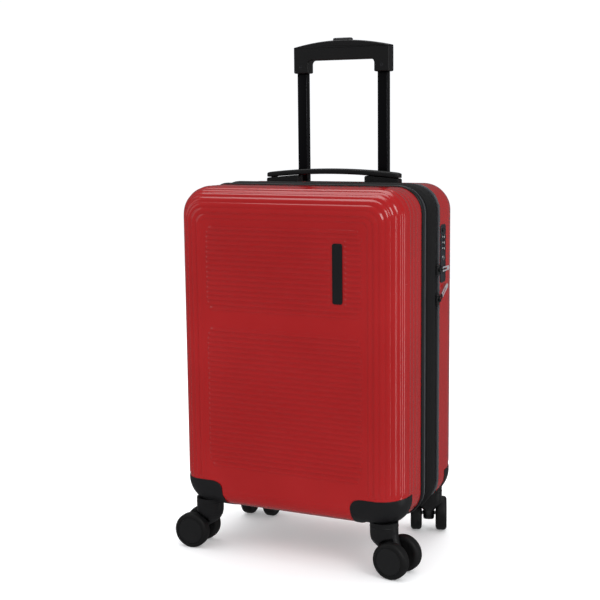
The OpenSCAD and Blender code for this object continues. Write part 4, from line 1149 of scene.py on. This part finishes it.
keyFace = stacked(circleOf(3.95, 36), [(0, 160), (0, 173.9), (0.3, 174.3), (0.9, 174.4), (1.2, 174.25),
                                       (1.6, 174.25), (3.2, 174.25)])
keySlot = stacked(roundRect(0.9, 4.6, 0.4, 4), roundedLevels(174.0, 174.34, 0.1, 2))
addPiece("keyFace", joined([turned(keyFace, (0, lockParts["y"], lockParts["keyZ"]), **alongX)]),
         "key_cylinder", "steel", ["key_cylinder"], "steel", sharp=30)
addPiece("keySlot", joined([turned(keySlot, (0, lockParts["y"], lockParts["keyZ"]), **alongX)]),
         "key_cylinder", "plateBlack", slot="steel", sharp=30)
push = stacked(roundRect(9, 5, 1.4), [(0, 171.0), (0, 174.5), (0.4, 174.95), (0.9, 175.1), (1.2, 175.1)])
addPiece("lockPush", joined([turned(push, (0, lockParts["y"], lockParts["pushZ"]), **alongX)]),
         "lock_release", "sliderBlack", ["lock_release"], "button_black", sharp=30)

sliderShape = dict(y=32, pullX=176.5, upper=(414, 0), lower=(371, 29),
                   link=(-3.5, 12.5, 3.5, (-1.75, 9, 1.75), 1.4), tab=(10, 38.5, 3.4, (13, 31, 1.5), 1.3))


def makeSlider(c, z):
    # the slider's shield, waisted in the middle, with the bridge that holds the pull
    shield = roundedPath([(-5, -8), (5, -8), (4.2, 0), (5, 8), (-5, 8), (-4.2, 0)],
                         [1.6, 1.6, 3, 1.6, 1.6, 3])
    body = stacked(shield, [(0.4, 171.8), (0, 172.2), (0, 174.6), (0.5, 175.2), (1.4, 175.4)])
    post = stacked(circleOf(1.6, 24), [(0, 175), (0, 178.6)])
    cap = stacked(circleOf(2.6, 28), [(0.3, 177.6), (0, 177.8), (0, 178.1), (0.4, 178.4), (1.2, 178.5)])
    return joined([turned(f, (0, c["y"], z), **alongX) for f in (body, post, cap)])


def makePull(c, z, angle):
    # a black link with the pivot's eye, and a silver tab with a long slot: each is two walls, one
    # outside and one round its hole
    def stadium(low, high, half, arc=14):
        a = np.linspace(0, math.pi, arc)
        right = np.stack([half * np.cos(a), high - half + half * np.sin(a)], 1)
        left = np.stack([-half * np.cos(a), low + half - half * np.sin(a)], 1)
        outs = np.concatenate([np.stack([np.cos(a), np.sin(a)], 1), np.stack([-np.cos(a), -np.sin(a)], 1)])
        return np.vstack([right, left]), outs

    def tab(low, high, half, hole, thick):
        outer, outs = stadium(low, high, half)
        inner, innerOuts = stadium(*hole)
        n = len(outer)
        middle = c["pullX"]
        levels = [(0.35, middle - thick / 2), (0, middle - thick / 2 + 0.3), (0, middle + thick / 2 - 0.3),
                  (0.35, middle + thick / 2)]
        rings = [np.hstack([outer - outs * i, np.full((n, 1), x)]) for i, x in levels]
        rings += [np.hstack([inner + innerOuts * i, np.full((n, 1), x)]) for i, x in reversed(levels)]
        return np.concatenate(rings), [gridFaces(8, n, True, True)]

    a = math.radians(angle)
    across, along = (0, -math.sin(a), math.cos(a)), (0, math.cos(a), math.sin(a))
    return [joined([turned(tab(*c[part]), (0, c["y"], z), across, along, (1, 0, 0))])
            for part in ("link", "tab")]


for word in ("upper", "lower"):
    z, angle = sliderShape[word]
    addPiece(f"{word}Slider", makeSlider(sliderShape, z), f"slider_{word}", "sliderBlack",
             [f"slider_{word}"], "zip_black", sharp=40)
    link, tab = makePull(sliderShape, z, angle)
    addPiece(f"{word}PullLink", link, f"pull_{word}", "sliderBlack", slot="zip_black", sharp=40)
    addPiece(f"{word}Pull", tab, f"pull_{word}", "pullSilver", [f"pull_{word}"], "pull_chrome", sharp=40)
plateX, plateZ, plateWide, plateTall, _ = shellShape["plate"]
plate = stacked(roundRect(plateWide, plateTall, 3.2, 8),
                [(0, 121.2), (0, 122.3), (0.25, 122.75), (0.7, 123.0), (1.3, 123.0), (1.6, 122.85),
                 (2.8, 122.85)])
addPiece("nameplateBlank", joined([turned(plate, (plateX, 0, plateZ), **alongY)]), "nameplate",
         "plateBlack", ["nameplate"], "plate_black", sharp=40)
print("lock and plate made")

# ---- inside ----

liningShape = dict(off=6.0, wall=1.0, edge=4, humpX=94, humpZ=116, humpY=60, ridge=19.5, ridgeY=77.6,
                   dockY=72, dockZ=487, dockX=92,
                   lockX=150, lockFrom=149, lockY=(38, 70), lockZ=(388, 484), postTop=511, postRoom=17,
                   clothLong=0.66, allowance=1.12)


def makeLining(side):
    # the case's surface, stood inwards, and drawn over whatever stands behind it: each rule moves
    # a coordinate to its limit by an eased share of the way into the region
    c = liningShape
    rim = wayAtDepth(case["face"] - abs(case["frontRim"] if side < 0 else case["backRim"])) - c["edge"]
    ways = np.concatenate([np.linspace(-99, 0, 44), np.linspace(2, rim, 40)])
    loop = tuple(q[None] for q in outlineLoop(60, 10, 14, 70))
    p = wallPoint(side, loop, ways[:, None], -c["off"])
    x, y, z = p[..., 0].copy(), p[..., 1].copy(), p[..., 2].copy()

    def draw(value, limit, share):  # towards the limit, keeping a trace of its own shape
        return value + (limit + (value - limit) * 0.03 - value) * share

    hump = eased((np.abs(x) - c["humpX"]) / 8) * eased((side * y - c["humpY"]) / 8)
    z = np.where(z < c["humpZ"], draw(z, c["humpZ"], hump), z)
    if side > 0:
        ridge = eased((c["ridge"] - np.abs(np.abs(x) - trolleyShape["x"])) / 4) * (z < c["dockZ"] + 8)
        y = np.where(y > c["ridgeY"], draw(y, c["ridgeY"], ridge), y)
        dock = eased((c["dockX"] - np.abs(x)) / 5) * eased((z - c["dockZ"]) / 6)
        y = np.where(y > c["dockY"], draw(y, c["dockY"], dock), y)
        (near, far), (low, high) = c["lockY"], c["lockZ"]
        lock = eased((x - c["lockFrom"]) / 4) * eased((y - near) / 4) * eased((far - y) / 4)
        lock = lock * eased((z - low) / 4) * eased((high - z) / 4)
        x = draw(x, c["lockX"], lock)
        post = np.hypot(np.abs(x) - handleShape["postX"], y - handleShape["y"])
        z = np.where(z > c["postTop"], draw(z, c["postTop"], eased((c["postRoom"] - post) / 4)), z)
    points = np.stack([x, y, z], -1)
    n = points.shape[1]
    count = len(ways)
    middle = np.array([[0.0, side * (case["face"] - c["off"]), case["middle"]]])
    flat = points.reshape(-1, 3)
    cap = np.stack([np.arange(n), np.roll(np.arange(n), -1), np.full(n, count * n)], 1)
    faces = [gridFaces(count, n, wrapColumns=True), cap[:, ::-1]]
    return np.concatenate([flat, middle]), faces


def sheetArea(form):
    points, faces = form
    total = 0.0
    for f in faces:
        for k in range(1, f.shape[1] - 1):
            first, second = (points[f[:, j]] - points[f[:, 0]] for j in (k, k + 1))
            total += np.linalg.norm(np.cross(first, second), axis=1).sum() / 2
    return total / 1e6


for side, word in ((-1, "front"), (1, "back")):
    form = consistent(makeLining(side), word + "Lining")
    obj = addPiece(f"{word}Lining", form, f"{word}_lining", "liningGrey", [f"{word}_lining"], "lining_grey",
                   sharp=None, solid=liningShape["wall"])
    # the area of the modelled lining is worked out
    area = sheetArea(form)

strapShape = dict(wide=25, y=72.6, low=186, high=431, half=165.9, sag=3,
                  rising=(-0.7, 0.75), falling=(0.9, 0.5))


def makeStrapSheet(c, sign):
    # a flat strip from one side of the lining to the other, bowed a little towards the opening
    length = math.hypot(2 * c["half"], c["high"] - c["low"])
    t = np.linspace(-0.5, 0.5, 60)[:, None]
    v = np.linspace(-0.5, 0.5, 7)[None] * c["wide"]
    along = np.array([2 * c["half"], sign * (c["high"] - c["low"])]) / length
    x = along[0] * t * length - along[1] * v
    z = (c["low"] + c["high"]) / 2 + along[1] * t * length + along[0] * v
    x = np.clip(x, -c["half"], c["half"])
    shift, bow = c["rising"] if sign > 0 else c["falling"]
    y = c["y"] + shift + 0 * x - c["sag"] * np.cos(math.pi * t) * bow + 0.12 * np.cos(v * 1.8)
    return np.stack([x, y, z], -1).reshape(-1, 3), [gridFaces(60, 7)], length


for sign, name in ((1, "strapRising"), (-1, "strapFalling")):
    points, faces, length = makeStrapSheet(strapShape, sign)
    obj = addPiece(name, (points, faces), "cross_straps", "webbingBlack", ["cross_straps"]
                   if sign > 0 else (), "webbing", sharp=None, solid=1.3)
    length / 1000
    0.025 * length / 1000 * 0.97
buckleOutline = roundRect(44, 30, 6, 8)
buckleBody = stacked(buckleOutline, [(0.6, 66.6), (0, 67.2), (0, 71.2), (0.8, 72.2), (2.0, 72.5)])
buckleBar = stacked(roundRect(30, 14, 4, 6), roundedLevels(64.9, 68, 1.0))
addPiece("strapBuckle", joined([turned(f, (0, 0, 308.5), (1, 0, 0), (0, 0, 1), (0, 1, 0))
                                for f in (buckleBody, buckleBar)]), "strap_buckle", "buckleBlack",
                                ["strap_buckle"], "housing_black", sharp=40)

pocketShape = dict(wide=210, high=150, y=-113.6, low=156, bulge=7)


def makePocket(c):
    # a net held on three sides: it bellies out as the product of two half sines, most near its top
    u, v = np.linspace(0, 1, 60)[:, None], np.linspace(0, 1, 44)[None]
    belly = np.sin(math.pi * u) * np.sin(math.pi * np.minimum(v, 0.75) / 1.5) * c["bulge"]
    x = (u - 0.5) * c["wide"] * (1 - 0.02 * v)
    z = c["low"] + v * c["high"] - 4 * np.sin(math.pi * u) * v ** 2
    x, y, z = np.broadcast_arrays(x, c["y"] + belly, z)
    return np.stack([x, y, z], -1).reshape(-1, 3), [gridFaces(60, 44)[:, ::-1]]


form = makePocket(pocketShape)
pocket = addPiece("meshPocket", form, "mesh_pocket", "netBlack", ["mesh_pocket"], "zip_black", sharp=None)
hem = np.stack([np.linspace(-103, 103, 40),
                pocketShape["y"] + 0.9 + 7 * np.sin(math.pi * np.linspace(0, 1, 40)),
                306 - 4 * np.sin(math.pi * np.linspace(0, 1, 40))], 1)


def tube(path, radius, count=10):
    # a round bar along a path that keeps near the XZ plane: ring points turn about each tangent
    tangent = np.gradient(path, axis=0)
    tangent /= np.linalg.norm(tangent, axis=1)[:, None]
    side = np.cross(tangent, [0, 1, 0])
    side /= np.linalg.norm(side, axis=1)[:, None]
    up = np.cross(side, tangent)
    a = np.linspace(0, math.tau, count, endpoint=False)[None, :, None]
    points = path[:, None] + radius * (np.cos(a) * side[:, None] + np.sin(a) * up[:, None])
    ends = np.arange(count)[None]
    return points.reshape(-1, 3), [gridFaces(len(path), count, wrapColumns=True), ends,
                                   ends + count * (len(path) - 1)]


frameLine = roundedPath([(-105, 156), (105, 156), (105, 306), (-105, 306)], [8, 8, 0.5, 0.5], 5)[0]
low = frameLine[frameLine[:, 1] < 300]
low = np.vstack([[-103, 306], low, [103, 306]])
binding = tube(np.stack([low[:, 0], np.full(len(low), -114.2), low[:, 1]], 1), 1.6)
hemObj = addPiece("pocketBinding", joined([tube(hem, 1.9), binding]), "mesh_pocket", "webbingBlack",
                  slot="zip_black", sharp=None)

# ---- nodes that stay as they are ----

steelNodes = ["kingpins_front", "kingpins_back", "dial_shaft", "release_yoke",
              *(f"axle_{k}" for k in casters)]
for node, finish in [("tube_feet", "footBlack"), *((n, "steel") for n in steelNodes)]:
    obj = frame["nodes"][node]
    if not obj.material_slots:
        obj.data.materials.append(None)
    for slot in obj.material_slots:
        slot.material = finishes[finish].material

# ---- floor ----

ground = bpy.data.meshes.new("floor")
ground.from_pydata([(-3, -0.6, 0), (3, -0.6, 0), (3, 3, 0), (-3, 3, 0)], [], [(0, 1, 2, 3)])
floorObj = bpy.data.objects.new("floor", ground)
bpy.context.scene.collection.objects.link(floorObj)
ground.materials.append(finishes["floorPale"].material)
floorObj.visible_glossy = False  # the case mirrors the dim room, not the white floor

print("finished")
